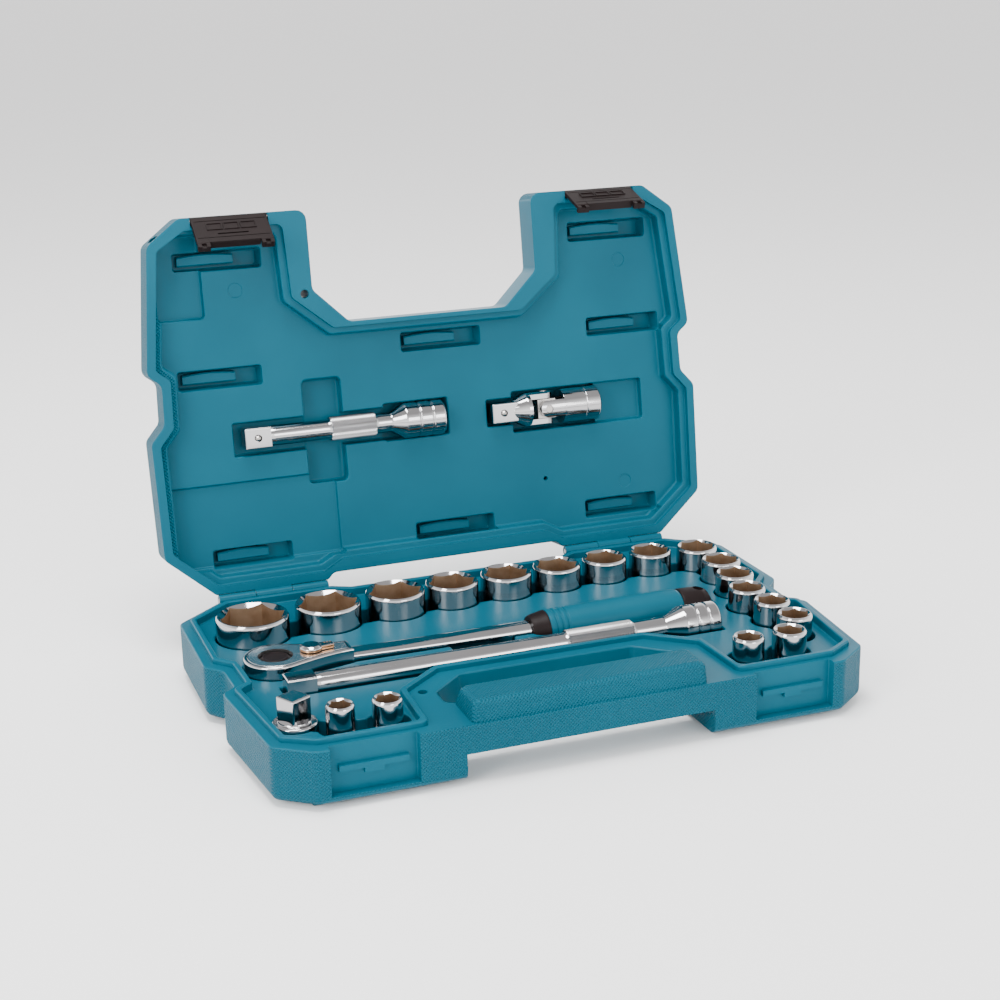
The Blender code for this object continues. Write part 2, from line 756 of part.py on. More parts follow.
def make_universal_joint(lid_frame):
    """The drive yoke's pin lies along local Y, and the socket yoke's along local X."""
    drive_yoke = turned([
        (0, 57),
        (6.6, 57),
        (8.2, 54),
        (YOKE_RADIUS, 48.5),
        (YOKE_RADIUS, JOINT_PIVOT + YOKE_THROAT),
        (0, JOINT_PIVOT + YOKE_THROAT),
    ])
    seat, detent = ball_seat(64.0, (-1, 0, 0))
    join(drive_yoke, square_drive(55.0, JOINT_LENGTH), *yoke_ears(1, 1))
    cut(drive_yoke, cross_bore(1), seat)
    finish(drive_yoke, "joint_drive_yoke", CHROME, lid_frame, JOINT_PLACE, LYING)
    finish(detent, "joint_ball", STEEL, lid_frame, JOINT_PLACE, LYING)

    socket_yoke = turned([
        (0, JOINT_PIVOT - YOKE_THROAT),
        (YOKE_RADIUS, JOINT_PIVOT - YOKE_THROAT),
        (YOKE_RADIUS, 0.8),
        (YOKE_RADIUS - 0.8, 0),
        (0, 0),
    ])
    half = SQUARE_HOLE / 2
    join(socket_yoke, *yoke_ears(0, -1))
    cut(socket_yoke, cross_bore(0), block((-half, -half, -2), (half, half, 17)))
    finish(socket_yoke, "joint_socket_yoke", CHROME, lid_frame, JOINT_PLACE, LYING)

    side = EAR_INNER - 0.4
    cross = block((-side, -side, JOINT_PIVOT - side), (side, side, JOINT_PIVOT + side))
    cut(cross, cross_bore(0), cross_bore(1))
    finish(cross, "joint_block", STEEL, lid_frame, JOINT_PLACE, LYING)

    reach = EAR_OUTER - 0.2
    long_pin = rod(along(1, -reach, JOINT_PIVOT), along(1, reach, JOINT_PIVOT), CROSS_PIN_RADIUS, 12)
    finish(long_pin, "joint_long_pin", STEEL, lid_frame, JOINT_PLACE, LYING)
    for name, side in (("inner", -1), ("outer", 1)):
        start = along(0, side * 2.9, JOINT_PIVOT)
        pin = rod(start, along(0, side * reach, JOINT_PIVOT), CROSS_PIN_RADIUS, 12)
        finish(pin, "joint_short_pin_" + name, STEEL, lid_frame, JOINT_PLACE, LYING)


# Ratchet, drawn with its head's axis on local Z and its handle along local X

HEAD_RADIUS = 17.5
HEAD_LOW = -11.0
HEAD_HIGH = 9.5
BAR_RADIUS = 6.6
GEAR_RADIUS = 12.6
GEAR_TEETH = 36
LEVER_X = 20.0
GRIP_RADIUS = 12.0
GRIP_START = 147.0
SLEEVE_START = 157.0
SLEEVE_END = 240.0
GRIP_END = 260.0
BAR_END = 246.0
SCREW_Y = 15.35
HANDLE_ALONG_X = (0, math.pi / 2, 0)


def head_outline(distance):
    """A round head that tapers into the neck, drawn inside the true edge by the distance."""
    radius = HEAD_RADIUS - distance
    points = []
    for step in range(15):
        angle = math.radians(68 + step * (292 - 68) / 14)
        points.append((radius * math.cos(angle), radius * math.sin(angle)))
    neck = 7.0 - distance
    return points + [(42.0 - distance, -neck), (42.0 - distance, neck)]


def gear_outline():
    points = []
    for step in range(GEAR_TEETH * 2):
        radius = GEAR_RADIUS if step % 2 else GEAR_RADIUS - 1.1
        angle = math.pi * step / GEAR_TEETH
        points.append((radius * math.cos(angle), radius * math.sin(angle)))
    return points


def make_ratchet_body(frame):
    body = plate(head_outline(0), HEAD_LOW, HEAD_HIGH, 2.0, 1.5)
    handle = rod((34, 0, 0), (BAR_END, 0, 0), BAR_RADIUS)
    join(body, handle)
    cut(
        body,
        rod((0, 0, -7), (0, 0, 20), GEAR_RADIUS + 0.5, 28),
        rod((0, 0, -20), (0, 0, 0), 9.5),
        plate(head_outline(2.0), 7.3, 20),
        rod((LEVER_X, 0, -7), (LEVER_X, 0, 20), 7.4),
        rod((LEVER_X + 5, 0, -1), (LEVER_X + 13.4, 0, -1), 2.1, 12),
        rod((0, SCREW_Y, -20), (0, SCREW_Y, 20), 1.4, 10),
        rod((0, -SCREW_Y, -20), (0, -SCREW_Y, 20), 1.4, 10),
    )
    finish(body, "ratchet_head_and_bar", CHROME, frame, RATCHET_PLACE)


def make_ratchet_cover(frame):
    cover = plate(head_outline(2.3), 7.6, HEAD_HIGH)
    cut(
        cover,
        rod((0, 0, 0), (0, 0, 20), 9.6),
        rod((LEVER_X, 0, 0), (LEVER_X, 0, 20), 4.6),
        rod((0, SCREW_Y - 0.9, 0), (0, SCREW_Y - 0.9, 8.9), 1.4, 10),
        rod((0, -SCREW_Y + 0.9, 0), (0, -SCREW_Y + 0.9, 8.9), 1.4, 10),
    )
    finish(cover, "ratchet_cover_plate", CHROME, frame, RATCHET_PLACE)


def make_cover_screws(frame):
    for name, side in (("front", -1), ("rear", 1)):
        screw = rod((0, side * SCREW_Y, HEAD_LOW + 0.2), (0, side * SCREW_Y, 7.2), 1.1, 10)
        finish(screw, "ratchet_cover_screw_" + name, STEEL, frame, RATCHET_PLACE)


def make_ratchet_gear(frame):
    gear = plate(gear_outline(), -6.6, 6.9)
    join(gear, rod((0, 0, -11.4), (0, 0, -6), 9.1), square_drive(-23.4, -11))
    seat, detent = ball_seat(-17.6, (0, -1, 0))
    cut(gear, rod((0, 0, -22.3), (0, 0, 20), 3.3, 16), rod((0, 0, 1.4), (0, 0, 20), 8.2), seat)
    finish(gear, "ratchet_gear", STEEL, frame, RATCHET_PLACE)
    finish(detent, "ratchet_drive_ball", STEEL, frame, RATCHET_PLACE)


def make_release_button(frame):
    button = turned([
        (0, 9.0),
        (6.6, 9.0),
        (7.6, 8.2),
        (7.6, 5.2),
        (2.7, 5.2),
        (2.7, -11.0),
        (1.3, -12.4),
        (1.3, -16.0),
        (2.7, -16.6),
        (2.7, -18.6),
        (0, -18.6),
    ])
    finish(button, "ratchet_release_button", BLACK, frame, RATCHET_PLACE)
    spring = coil((0, 0, 1.95), 5.4, 0.35, 2.5, 2.7)
    finish(spring, "ratchet_release_spring", STEEL, frame, RATCHET_PLACE)


def make_reversing_lever(frame):
    x = RATCHET_PLACE[0] + LEVER_X
    place = (x, RATCHET_PLACE[1], RATCHET_PLACE[2])
    lever = turned([(0, 12.9), (4.6, 12.9), (6.2, 11.6), (6.2, 9.9), (4.1, 9.9), (4.1, -6.4), (0, -6.4)])
    tab = plate(rounded([(2, -3.6), (12.6, -2.6), (12.6, 2.6), (2, 3.6)], 1.5), 9.9, 12.2)
    join(lever, tab)
    finish(lever, "ratchet_reversing_lever", BLACK, frame, place)
    pawl = rod((0, 0, -6.6), (0, 0, 5.5), 6.8)
    cut(pawl, rod((0, 0, -10), (0, 0, 10), 4.5), block((5.4, -8, -10), (9, 8, 10)))
    finish(pawl, "ratchet_pawl", STEEL, frame, place)
    spring = coil((0, 0, 0), 1.5, 0.3, 3, 5.6)
    finish(spring, "ratchet_pawl_spring", STEEL, frame, (x + 7.0, place[1], place[2] - 1), HANDLE_ALONG_X)


def make_grip(frame):
    def bored(profile, depth):
        return cut(turned(profile), rod((0, 0, -5), (0, 0, depth), BAR_RADIUS + 0.3))

    def place(start):
        return (RATCHET_PLACE[0] + start, RATCHET_PLACE[1], RATCHET_PLACE[2])

    long = SLEEVE_START - 0.3 - GRIP_START
    collar = bored([(0, long), (11.2, long), (10.8, long - 3), (9.8, 2), (9.0, 0), (0, 0)], long + 5)
    finish(collar, "ratchet_grip_collar", BLACK, frame, place(GRIP_START), HANDLE_ALONG_X)
    long = SLEEVE_END - SLEEVE_START
    sleeve = bored([
        (0, long),
        (GRIP_RADIUS - 0.5, long),
        (GRIP_RADIUS, long - 10),
        (GRIP_RADIUS, long * 0.45),
        (11.4, 6),
        (11.2, 0),
        (0, 0),
    ], long + 5)
    finish(sleeve, "ratchet_grip_sleeve", TEAL, frame, place(SLEEVE_START), HANDLE_ALONG_X)
    start = SLEEVE_END + 0.3
    long = GRIP_END - start
    cap = bored([
        (0, long),
        (6.5, long),
        (9.8, long - 2.2),
        (11.2, long - 6),
        (GRIP_RADIUS - 0.5, 3),
        (GRIP_RADIUS - 0.5, 0),
        (0, 0),
    ], BAR_END + 0.3 - start)
    cut(cap, rod((-15, 0, 13), (15, 0, 13), 3.2, 16))
    finish(cap, "ratchet_grip_end_cap", BLACK, frame, place(start), HANDLE_ALONG_X)


case_frame = axis_empty("case_frame", None, (0, HINGE_FROM_MIDDLE, BASE_DEPTH + FOOT_HEIGHT))
lid_axis = axis_empty("lid_axis", case_frame, (0, 0, 0), (math.radians(-LID_OPEN_DEG), 0, 0))
make_case_base(case_frame)
make_case_lid(lid_axis)
make_hinge_pins(case_frame)
make_latch("left", -1, lid_axis)
make_latch("right", 1, lid_axis)
for across_flats, head_diameter, place_x, place_y in SOCKETS:
    make_socket(across_flats, head_diameter, place_x, place_y, case_frame)
make_adapter(case_frame)
make_long_extension(case_frame)
make_short_extension(lid_axis)
make_universal_joint(lid_axis)
make_ratchet_body(case_frame)
make_ratchet_cover(case_frame)
make_cover_screws(case_frame)
make_ratchet_gear(case_frame)
make_release_button(case_frame)
make_reversing_lever(case_frame)
make_grip(case_frame)
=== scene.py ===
import json
import math

import bmesh
import bpy
from mathutils import Matrix, Vector

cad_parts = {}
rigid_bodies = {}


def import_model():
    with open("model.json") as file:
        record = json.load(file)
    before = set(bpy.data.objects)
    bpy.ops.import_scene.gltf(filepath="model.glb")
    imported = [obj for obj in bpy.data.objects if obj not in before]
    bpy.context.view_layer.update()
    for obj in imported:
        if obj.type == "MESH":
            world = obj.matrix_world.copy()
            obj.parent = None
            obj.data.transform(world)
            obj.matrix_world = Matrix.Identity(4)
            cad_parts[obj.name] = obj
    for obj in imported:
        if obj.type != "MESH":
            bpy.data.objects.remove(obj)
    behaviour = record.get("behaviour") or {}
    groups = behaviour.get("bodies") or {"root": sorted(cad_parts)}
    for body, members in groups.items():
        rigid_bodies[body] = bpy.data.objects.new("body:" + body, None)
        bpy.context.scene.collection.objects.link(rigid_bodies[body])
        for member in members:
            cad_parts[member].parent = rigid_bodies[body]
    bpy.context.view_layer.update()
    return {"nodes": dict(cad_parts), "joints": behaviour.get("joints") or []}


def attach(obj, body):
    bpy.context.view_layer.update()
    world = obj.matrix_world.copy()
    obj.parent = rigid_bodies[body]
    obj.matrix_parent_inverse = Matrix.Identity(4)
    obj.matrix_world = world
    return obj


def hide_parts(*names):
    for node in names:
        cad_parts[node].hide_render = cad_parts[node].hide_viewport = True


for leftover in list(bpy.data.objects):
    bpy.data.objects.remove(leftover, do_unlink=True)
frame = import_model()


# The lower half of the case. It is blow-moulded in one shot from teal polyethylene: a double wall whose
# outside has a fine diamond grain, and whose inside is sunk into smooth pockets, one for each tool.
# Its own drawing is in millimetres from the hinge line, with the joint between the halves at height 0.

MM = 0.001
hinge_joint = next(joint for joint in frame["joints"] if joint["name"] == "lid_hinge")
HINGE = Matrix.Translation(Vector(hinge_joint["pos_m"]))
IN_BASE = HINGE @ Matrix.Scale(MM, 4)

BASE_HALF = [
    (146.0, -224.1),
    (165.5, -209.3),
    (172.6, -135.8),
    (164.7, -129.8),
    (165.5, -106.3),
    (174.0, -96.6),
    (173.2, -27.8),
    (144.3, -2.6),
    (76.5, -2.6),
    (73.0, -7.1),
]
SEAL_HALF = [
    (60.0, -153.5),
    (84.0, -173.5),
    (86.0, -216.4),
    (143.2, -216.4),
    (159.8, -206.0),
    (166.8, -138.2),
    (158.9, -132.2),
    (159.7, -104.2),
    (168.3, -94.2),
    (167.5, -30.5),
    (142.2, -9.0),
    (78.0, -9.0),
    (66.0, -15.5),
]
HAND_HOLE_HALF = [(69.0, -194.1), (69.0, -177.5), (50.0, -160.0)]
TRAY_LEVEL = -2.0
POCKET_FLOOR = -28.0
LATCH_MIDDLE = 116.4
LATCH_RECESS = 23.0
LATCH_SIDES = (-LATCH_MIDDLE, LATCH_MIDDLE)
FIRST_KNUCKLE = 77.5
KNUCKLE_STEP = 22.3
KNUCKLE_LENGTH = 21.9
CORD_HOLE = (-75.7, -175.1)
CORD_HOLE_RADIUS = 2.6
FINGERWAY_FLOOR = -22.0

# size across flats, diameter of the head, place of the axis
SOCKETS = [
    (32, 41.5, -137.3, -58.1),
    (30, 38.0, -92.3, -54.6),
    (27, 34.9, -51.0, -51.6),
    (24, 31.4, -15.4, -49.6),
    (23, 30.6, 19.2, -48.6),
    (22, 28.9, 52.0, -48.1),
    (21, 27.0, 83.5, -47.6),
    (20, 25.8, 114.5, -47.1),
    (19, 24.6, 144.0, -51.6),
    (18, 23.4, 146.5, -79.1),
    (17, 22.4, 143.0, -103.5),
    (16, 21.4, 138.0, -127.9),
    (15, 20.6, 141.0, -152.2),
    (14, 19.8, 142.0, -176.4),
    (13, 18.8, 127.5, -196.6),
    (12, 17.4, 102.5, -196.6),
    (10, 15.0, -126.0, -196.6),
    (11, 15.8, -102.0, -198.6),
]
ADAPTER = (-146.3, -183.6)
RATCHET = Vector((-137.0, -108.6, -4.3))


def mirrored(half):
    return half + [(-x, y) for x, y in reversed(half)]


def rounded(points, radius, steps=5):
    """The closed outline with each corner turned into an arc."""
    result = []
    for index, point in enumerate(points):
        corner = Vector(point)
        back = Vector(points[index - 1]) - corner
        ahead = Vector(points[(index + 1) % len(points)]) - corner
        half_angle = back.angle(ahead) / 2
        reach = min(radius / math.tan(half_angle), 0.45 * min(back.length, ahead.length))
        bend = reach * math.tan(half_angle)
        middle = corner + (back.normalized() + ahead.normalized()).normalized() * bend / math.sin(half_angle)
        first = corner + back.normalized() * reach - middle
        last = corner + ahead.normalized() * reach - middle
        sweep = first.angle_signed(last)
        for step in range(steps + 1):
            turn = Matrix.Rotation(-sweep * step / steps, 2)
            result.append(tuple(middle + turn @ first))
    return result


def inset(points, distance):
    """The outline moved inwards on every side; it runs anticlockwise."""
    result = []
    for index, point in enumerate(points):
        here = Vector(point)
        back = (here - Vector(points[index - 1])).normalized()
        ahead = (Vector(points[(index + 1) % len(points)]) - here).normalized()
        across_back = Vector((-back.y, back.x))
        across_ahead = Vector((-ahead.y, ahead.x))
        mitre = (across_back + across_ahead) / (1 + across_back.dot(across_ahead))
        result.append(tuple(here + mitre * distance))
    return result


def circle(x, y, radius, steps=40):
    turns = [2 * math.pi * step / steps for step in range(steps)]
    return [(x + radius * math.cos(turn), y + radius * math.sin(turn)) for turn in turns]


# A form gives the outline of a piece at any distance in from its edge.


def round_form(x, y, radius, steps=40):
    return lambda move: circle(x, y, radius - move, steps)


def form(points, radius, steps=4):
    return lambda move: rounded(inset(points, move), max(radius - move, 0.3), steps)


def oblong(x0, y0, x1, y1, radius=2.0, steps=4):
    return form([(x0, y0), (x1, y0), (x1, y1), (x0, y1)], radius, steps)


def linked(name, data):
    """A new object of this mesh, lamp or camera, linked to the scene."""
    made = bpy.data.objects.new(name, data)
    bpy.context.scene.collection.objects.link(made)
    return made


def skin(rings):
    """A closed mesh through rings with the same number of points, each ring above the last."""
    shape = bmesh.new()
    rows = [[shape.verts.new(spot) for spot in ring] for ring in rings]
    count = len(rows[0])
    for low, high in zip(rows, rows[1:]):
        for index in range(count):
            after = (index + 1) % count
            shape.faces.new((low[index], low[after], high[after], high[index]))
    shape.faces.new(list(reversed(rows[0])))
    shape.faces.new(rows[-1])
    bmesh.ops.remove_doubles(shape, verts=shape.verts, dist=0.0001)
    bmesh.ops.recalc_face_normals(shape, faces=shape.faces)
    mesh = bpy.data.meshes.new("skin")
    shape.to_mesh(mesh)
    shape.free()
    return linked("skin", mesh)


def stacked(shape, levels):
    """The outline at each level, as rings for a skin."""
    return skin([[(x, y, z) for x, y in shape(move)] for move, z in levels])


def slab(shape, low, high, round_low=0.0, round_high=0.0, steps=3):
    """A flat piece whose lower and upper edges are rounded inwards."""
    levels = []
    for step in range(steps + 1 if round_low else 1):
        turn = math.pi / 2 * step / steps
        levels.append((round_low * (1 - math.sin(turn)), low + round_low * (1 - math.cos(turn))))
    for step in range(steps + 1 if round_high else 1):
        turn = math.pi / 2 * step / steps
        levels.append((round_high * (1 - math.cos(turn)), high - round_high * (1 - math.sin(turn))))
    return stacked(shape, levels)


def pocket(shape, floor, mouth, round_floor=1.5, round_mouth=1.0, steps=3):
    """What a pocket takes away: its floor's edge is filleted, and its mouth's edge is rounded over."""
    levels = []
    for step in range(steps + 1):
        turn = math.pi / 2 * step / steps
        levels.append((round_floor * (1 - math.sin(turn)), floor + round_floor * (1 - math.cos(turn))))
    for step in range(steps + 1):
        turn = math.pi / 2 * step / steps
        levels.append((-round_mouth * (1 - math.cos(turn)), mouth - round_mouth * (1 - math.sin(turn))))
    levels.append((-round_mouth, mouth + 9))
    return stacked(shape, levels)


def bar(start, end, radius, steps=24):
    """A round rod between two points."""
    start, end = Vector(start), Vector(end)
    turn = (end - start).to_track_quat("Z", "Y").to_matrix()
    spots = [turn @ Vector((x, y, 0)) for x, y in circle(0, 0, radius, steps)]
    return skin([[start + spot for spot in spots], [end + spot for spot in spots]])


def box(low, high, radius=0.0):
    if radius:
        return slab(oblong(low[0], low[1], high[0], high[1], radius), low[2], high[2])
    outline = [(low[0], low[1]), (high[0], low[1]), (high[0], high[1]), (low[0], high[1])]
    return slab(lambda move: outline, low[2], high[2])


def baked(piece):
    """The mesh of an object with its modifiers worked in."""
    return bpy.data.meshes.new_from_object(piece.evaluated_get(bpy.context.evaluated_depsgraph_get()))


def carve(body, joins=(), cuts=(), late_joins=(), within=()):
    """Joins and cuts, and gives back the finished mesh."""
    groups = (("UNION", joins), ("DIFFERENCE", cuts), ("UNION", late_joins), ("INTERSECT", within))
    spent = [body]
    for kind, others in groups:
        if not others:
            continue
        tray = bpy.data.collections.new("tools")
        bpy.context.scene.collection.children.link(tray)
        for other in others:
            tray.objects.link(other)
            spent.append(other)
        work = body.modifiers.new(kind, "BOOLEAN")
        work.operation = kind
        work.solver = "MANIFOLD"
        work.operand_type = "COLLECTION"
        work.collection = tray
    done = baked(body)
    for piece in spent:
        bpy.data.objects.remove(piece)
    return done


def place(mesh, name, matrix, materials, body, node, sharp=32, paint=None):
    """Puts a finished mesh where it belongs, and gives it to the body it moves with."""
    shades = [paint(face.center, face.normal) if paint else 0 for face in mesh.polygons]
    mesh.transform(matrix)
    if matrix.determinant() < 0:
        mesh.flip_normals()
    mesh.shade_smooth()
    mesh.set_sharp_from_angle(angle=math.radians(sharp))
    mesh.name = name
    mesh.materials.clear()
    for material in materials:
        mesh.materials.append(material)
    mesh.polygons.foreach_set("material_index", shades)
    piece = linked(name, mesh)
    even = piece.modifiers.new("even", "WEIGHTED_NORMAL")
    even.keep_sharp = True
    even.weight = 100
    piece.data = baked(piece)
    piece.data.name = name
    piece.modifiers.clear()
    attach(piece, body)
    if node:
        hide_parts(node)
    return piece


def nearest_edge(x, y, outline):
    """How far a point is from an outline."""
    spot = Vector((x, y))
    best = 1e9
    for index in range(len(outline)):
        a, b = Vector(outline[index - 1]), Vector(outline[index])
        run = b - a
        share = max(0, min(1, (spot - a).dot(run) / run.length_squared))
        best = min(best, (spot - a - run * share).length)
    return best


def lay_grain(mesh, is_grained):
    """Lays a map in millimetres along each wall, and marks the faces that carry the moulded grain."""
    grain = mesh.uv_layers.new(name="grain")
    marks = mesh.attributes.new("grained", "FLOAT", "FACE")
    for face in mesh.polygons:
        n = face.normal
        marks.data[face.index].value = 1.0 if is_grained(face.center, n) else 0.0
        flat = Vector((-n.y, n.x, 0))
        for loop in face.loop_indices:
            spot = mesh.vertices[mesh.loops[loop].vertex_index].co
            if abs(n.z) > 0.8:
                grain.data[loop].uv = (spot.x, spot.y)
            else:
                grain.data[loop].uv = (spot.dot(flat.normalized()), spot.z)


def node_of(tree, kind, **values):
    made = tree.nodes.new(kind)
    for key, value in values.items():
        setattr(made, key, value)
    return made


def maths(tree, operation, first, second=None):
    made = node_of(tree, "ShaderNodeMath", operation=operation)
    for slot_number, value in enumerate((first, second)):
        if value is None:
            continue
        if isinstance(value, (int, float)):
            made.inputs[slot_number].default_value = value
        else:
            tree.links.new(value, made.inputs[slot_number])
    return made.outputs[0]


def case_plastic():
    """Teal polyethylene: satin, faintly mottled, with a diamond grain where the mould is etched."""
    made = bpy.data.materials.new("teal_polyethylene")
    made.use_nodes = True
    tree = made.node_tree
    shader = tree.nodes["Principled BSDF"]
    shader.inputs["Specular IOR Level"].default_value = 0.11
    spots = node_of(tree, "ShaderNodeTexCoord").outputs["Object"]
    clouds = node_of(tree, "ShaderNodeTexNoise")
    clouds.inputs["Scale"].default_value = 22.0
    clouds.inputs["Detail"].default_value = 3.0
    tree.links.new(spots, clouds.inputs["Vector"])
    shade = node_of(tree, "ShaderNodeValToRGB")
    shade.color_ramp.elements[0].position = 0.35
    shade.color_ramp.elements[0].color = (0.0, 0.07, 0.109, 1)
    shade.color_ramp.elements[1].position = 0.7
    shade.color_ramp.elements[1].color = (0.0, 0.078, 0.12, 1)
    tree.links.new(clouds.outputs["Fac"], shade.inputs["Fac"])
    tree.links.new(shade.outputs["Color"], shader.inputs["Base Color"])
    marks = node_of(tree, "ShaderNodeAttribute", attribute_name="grained").outputs["Fac"]
    spread = node_of(tree, "ShaderNodeMapRange")
    spread.inputs["To Min"].default_value = 0.34
    spread.inputs["To Max"].default_value = 0.47
    tree.links.new(marks, spread.inputs["Value"])
    tree.links.new(spread.outputs["Result"], shader.inputs["Roughness"])
    wall_map = node_of(tree, "ShaderNodeUVMap", uv_map="grain")
    parts = node_of(tree, "ShaderNodeSeparateXYZ")
    tree.links.new(wall_map.outputs["UV"], parts.inputs["Vector"])
    rising = maths(tree, "ADD", parts.outputs["X"], parts.outputs["Y"])
    falling = maths(tree, "SUBTRACT", parts.outputs["X"], parts.outputs["Y"])
    first = maths(tree, "PINGPONG", maths(tree, "ADD", rising, 1000.0), 1.0)
    second = maths(tree, "PINGPONG", maths(tree, "ADD", falling, 1000.0), 1.0)
    diamonds = maths(tree, "MULTIPLY", maths(tree, "MULTIPLY", first, second), marks)
    fine = node_of(tree, "ShaderNodeTexNoise")
    fine.inputs["Scale"].default_value = 1400.0
    tree.links.new(spots, fine.inputs["Vector"])
    height = maths(tree, "ADD", diamonds, maths(tree, "MULTIPLY", fine.outputs["Fac"], 0.05))
    bump = node_of(tree, "ShaderNodeBump")
    bump.inputs["Strength"].default_value = 1.0
    bump.inputs["Distance"].default_value = 0.0008
    tree.links.new(height, bump.inputs["Height"])
    tree.links.new(bump.outputs["Normal"], shader.inputs["Normal"])
    return made


def drive_end(head):
    return max(22.0, 0.82 * head)


def tool_pockets():
    """The pockets of the lower half: round wells, the fingerways between them, and the long beds."""
    made = []
    wells = [(x, y, max(head, drive_end(head)) / 2 + 0.7) for _, head, x, y in SOCKETS]
    wells.append((*ADAPTER, 12.3))
    for x, y, radius in wells:
        made.append(pocket(round_form(x, y, radius), POCKET_FLOOR, TRAY_LEVEL, 1.2, 0.9))
    row = [(x, y, head) for _, head, x, y in SOCKETS[:16]]
    front = [(*ADAPTER, 22.0)] + [(x, y, head) for _, head, x, y in SOCKETS[16:]]
    for line in (row, front):
        for (x0, y0, head0), (x1, y1, head1) in zip(line, line[1:]):
            run = Vector((x1 - x0, y1 - y0))
            side = Vector((-run.y, run.x)).normalized() * max(min(head0, head1), 22.0) * 0.3
            a, b = Vector((x0, y0)), Vector((x1, y1))
            outline = [tuple(a - side), tuple(b - side), tuple(b + side), tuple(a + side)]
            made.append(pocket(form(outline, 0.5, 1), FINGERWAY_FLOOR, TRAY_LEVEL, 1.2, 0.9))
    x, y, z = RATCHET
    made.append(pocket(round_form(x, y, 18.3, 64), z - 11.5, TRAY_LEVEL, 1.5, 0.9))
    made.append(pocket(round_form(x, y, 10.4), POCKET_FLOOR, TRAY_LEVEL, 1.2, 0.9))
    neck = [(x + 2, y - 17.9), (x + 42, y - 9), (x + 42, y + 9), (x + 2, y + 17.9)]
    made.append(pocket(form(neck, 0.5, 1), z - 11.5, TRAY_LEVEL, 1.5, 0.9))
    made.append(pocket(oblong(x + 38, y - 8.4, x + 150, y + 8.4, 1), z - 8, TRAY_LEVEL, 3.0, 0.9))
    made.append(pocket(oblong(9.2, y - 13, 124.6, y + 13, 6), z - 13, TRAY_LEVEL, 5.0, 0.9))
    y = -142.6
    made.append(pocket(oblong(-142, y - 7.2, 90, y + 7.2, 1), -7.4, TRAY_LEVEL, 2.5, 0.9))
    made.append(pocket(oblong(16.5, y - 8, 59.5, y + 8, 1), -8.0, TRAY_LEVEL, 2.5, 0.9))
    ring_end = [(75.5, y - 8), (87.5, y - 11.7), (111, y - 11.7), (111, y + 11.7), (87.5, y + 11.7), (75.5, y + 8)]
    made.append(pocket(form(ring_end, 1.5), -11.6, TRAY_LEVEL, 2.0, 0.9))
    made.append(pocket(oblong(-40, -150.5, -2, -97, 5), -19.0, TRAY_LEVEL, 3.0, 1.2))
    return made


def knuckle_span(number, side):
    start = FIRST_KNUCKLE + number * KNUCKLE_STEP
    return sorted((side * start, side * (start + KNUCKLE_LENGTH)))


def knuckles(numbers, web_low, web_high):
    made = []
    for side in (-1, 1):
        for number in numbers:
            first, last = knuckle_span(number, side)
            made.append(bar((first, 0, 0), (last, 0, 0), 3.2))
            made.append(box((first + 0.1, -5, web_low), (last - 0.1, -0.4, web_high)))
    return made


def knuckle_room(numbers):
    made = []
    for side in (-1, 1):
        for number in numbers:
            first, last = knuckle_span(number, side)
            made.append(bar((first - 0.4, 0, 0), (last + 0.4, 0, 0), 3.7))
        made.append(bar((side * 76.5, 0, 0), (side * 145.0, 0, 0), 1.7))
    return made


def carrying_handle():
    """The grip stands above the joint between the halves, with its back leaning into the hand hole."""
    rings = []
    for z, back, front, end, radius in (
        (-1.0, -194.3, -222.9, 65.4, 3.0),
        (0.0, -194.4, -222.9, 65.4, 3.0),
        (9.0, -199.0, -222.2, 64.6, 3.0),
        (10.4, -199.9, -221.8, 64.1, 3.0),
        (11.4, -200.9, -220.9, 63.1, 3.0),
        (12.0, -202.3, -219.6, 61.8, 3.0),
    ):
        outline = rounded([(-end, front), (end, front), (end, back), (-end, back)], radius, 4)
        rings.append([(x, y, z) for x, y in outline])
    return skin(rings)


def seal_form(distance):
    return form(inset(mirrored(SEAL_HALF), distance), 4.0)


teal = case_plastic()
base_outline = rounded(mirrored(BASE_HALF), 5.0)
lower = slab(form(mirrored(BASE_HALF), 6.0), -30.0, 0.0, 5.0, 0.8, 4)
raised = [slab(seal_form(0), -1.0, 3.0, 0, 0.9), carrying_handle()] + knuckles((0, 2), -7.0, -0.4)
taken = [pocket(seal_form(3.2), TRAY_LEVEL, 3.0, 1.0, 0.9)]
taken.append(pocket(form(mirrored(HAND_HOLE_HALF), 5.0), -36.0, 0.0, 0.5, 1.2))
taken.append(box((-69, -232, -36), (69, -190, -15.5)))
taken.append(bar((*CORD_HOLE, -36), (*CORD_HOLE, 6), CORD_HOLE_RADIUS))
for middle in LATCH_SIDES:
    taken.append(box((middle - LATCH_RECESS, -232, -25.5), (middle + LATCH_RECESS, -219.2, 4), 0.8))
taken += tool_pockets() + knuckle_room((1,))
added = []
for middle in LATCH_SIDES:
    added.append(box((middle - 18, -221.6, -13.9), (middle + 18, -217, -10.9)))
    added.append(box((middle - 5, -221.5, -16.5), (middle + 5, -217, -13.7)))
    for x in (93.0, 117.0, 141.0):
        for y in (-217.0, -34.0):
            foot_x = math.copysign(x, middle)
            foot = oblong(foot_x - 6.5, y, foot_x + 6.5, y + 13, 1.5)
            added.append(slab(foot, -32.0, -28.5, 1.0, 0))
lower_mesh = carve(lower, raised, taken, added)


def in_latch_recess(x, y):
    return abs(abs(x) - LATCH_MIDDLE) < LATCH_RECESS + 0.2 and -223.9 < y < -216


def grained_lower(spot, n):
    x, y, z = spot
    if abs(x) < 66 and y < -194 and z > -1.5:
        return True
    if z > -0.9 or in_latch_recess(x, y):
        return False
    if abs(x) < 69.5 and y > -193.9:
        return False
    return n.z < -0.9 or nearest_edge(x, y, base_outline) < 5.6 or (abs(x) < 75 and y < -194)


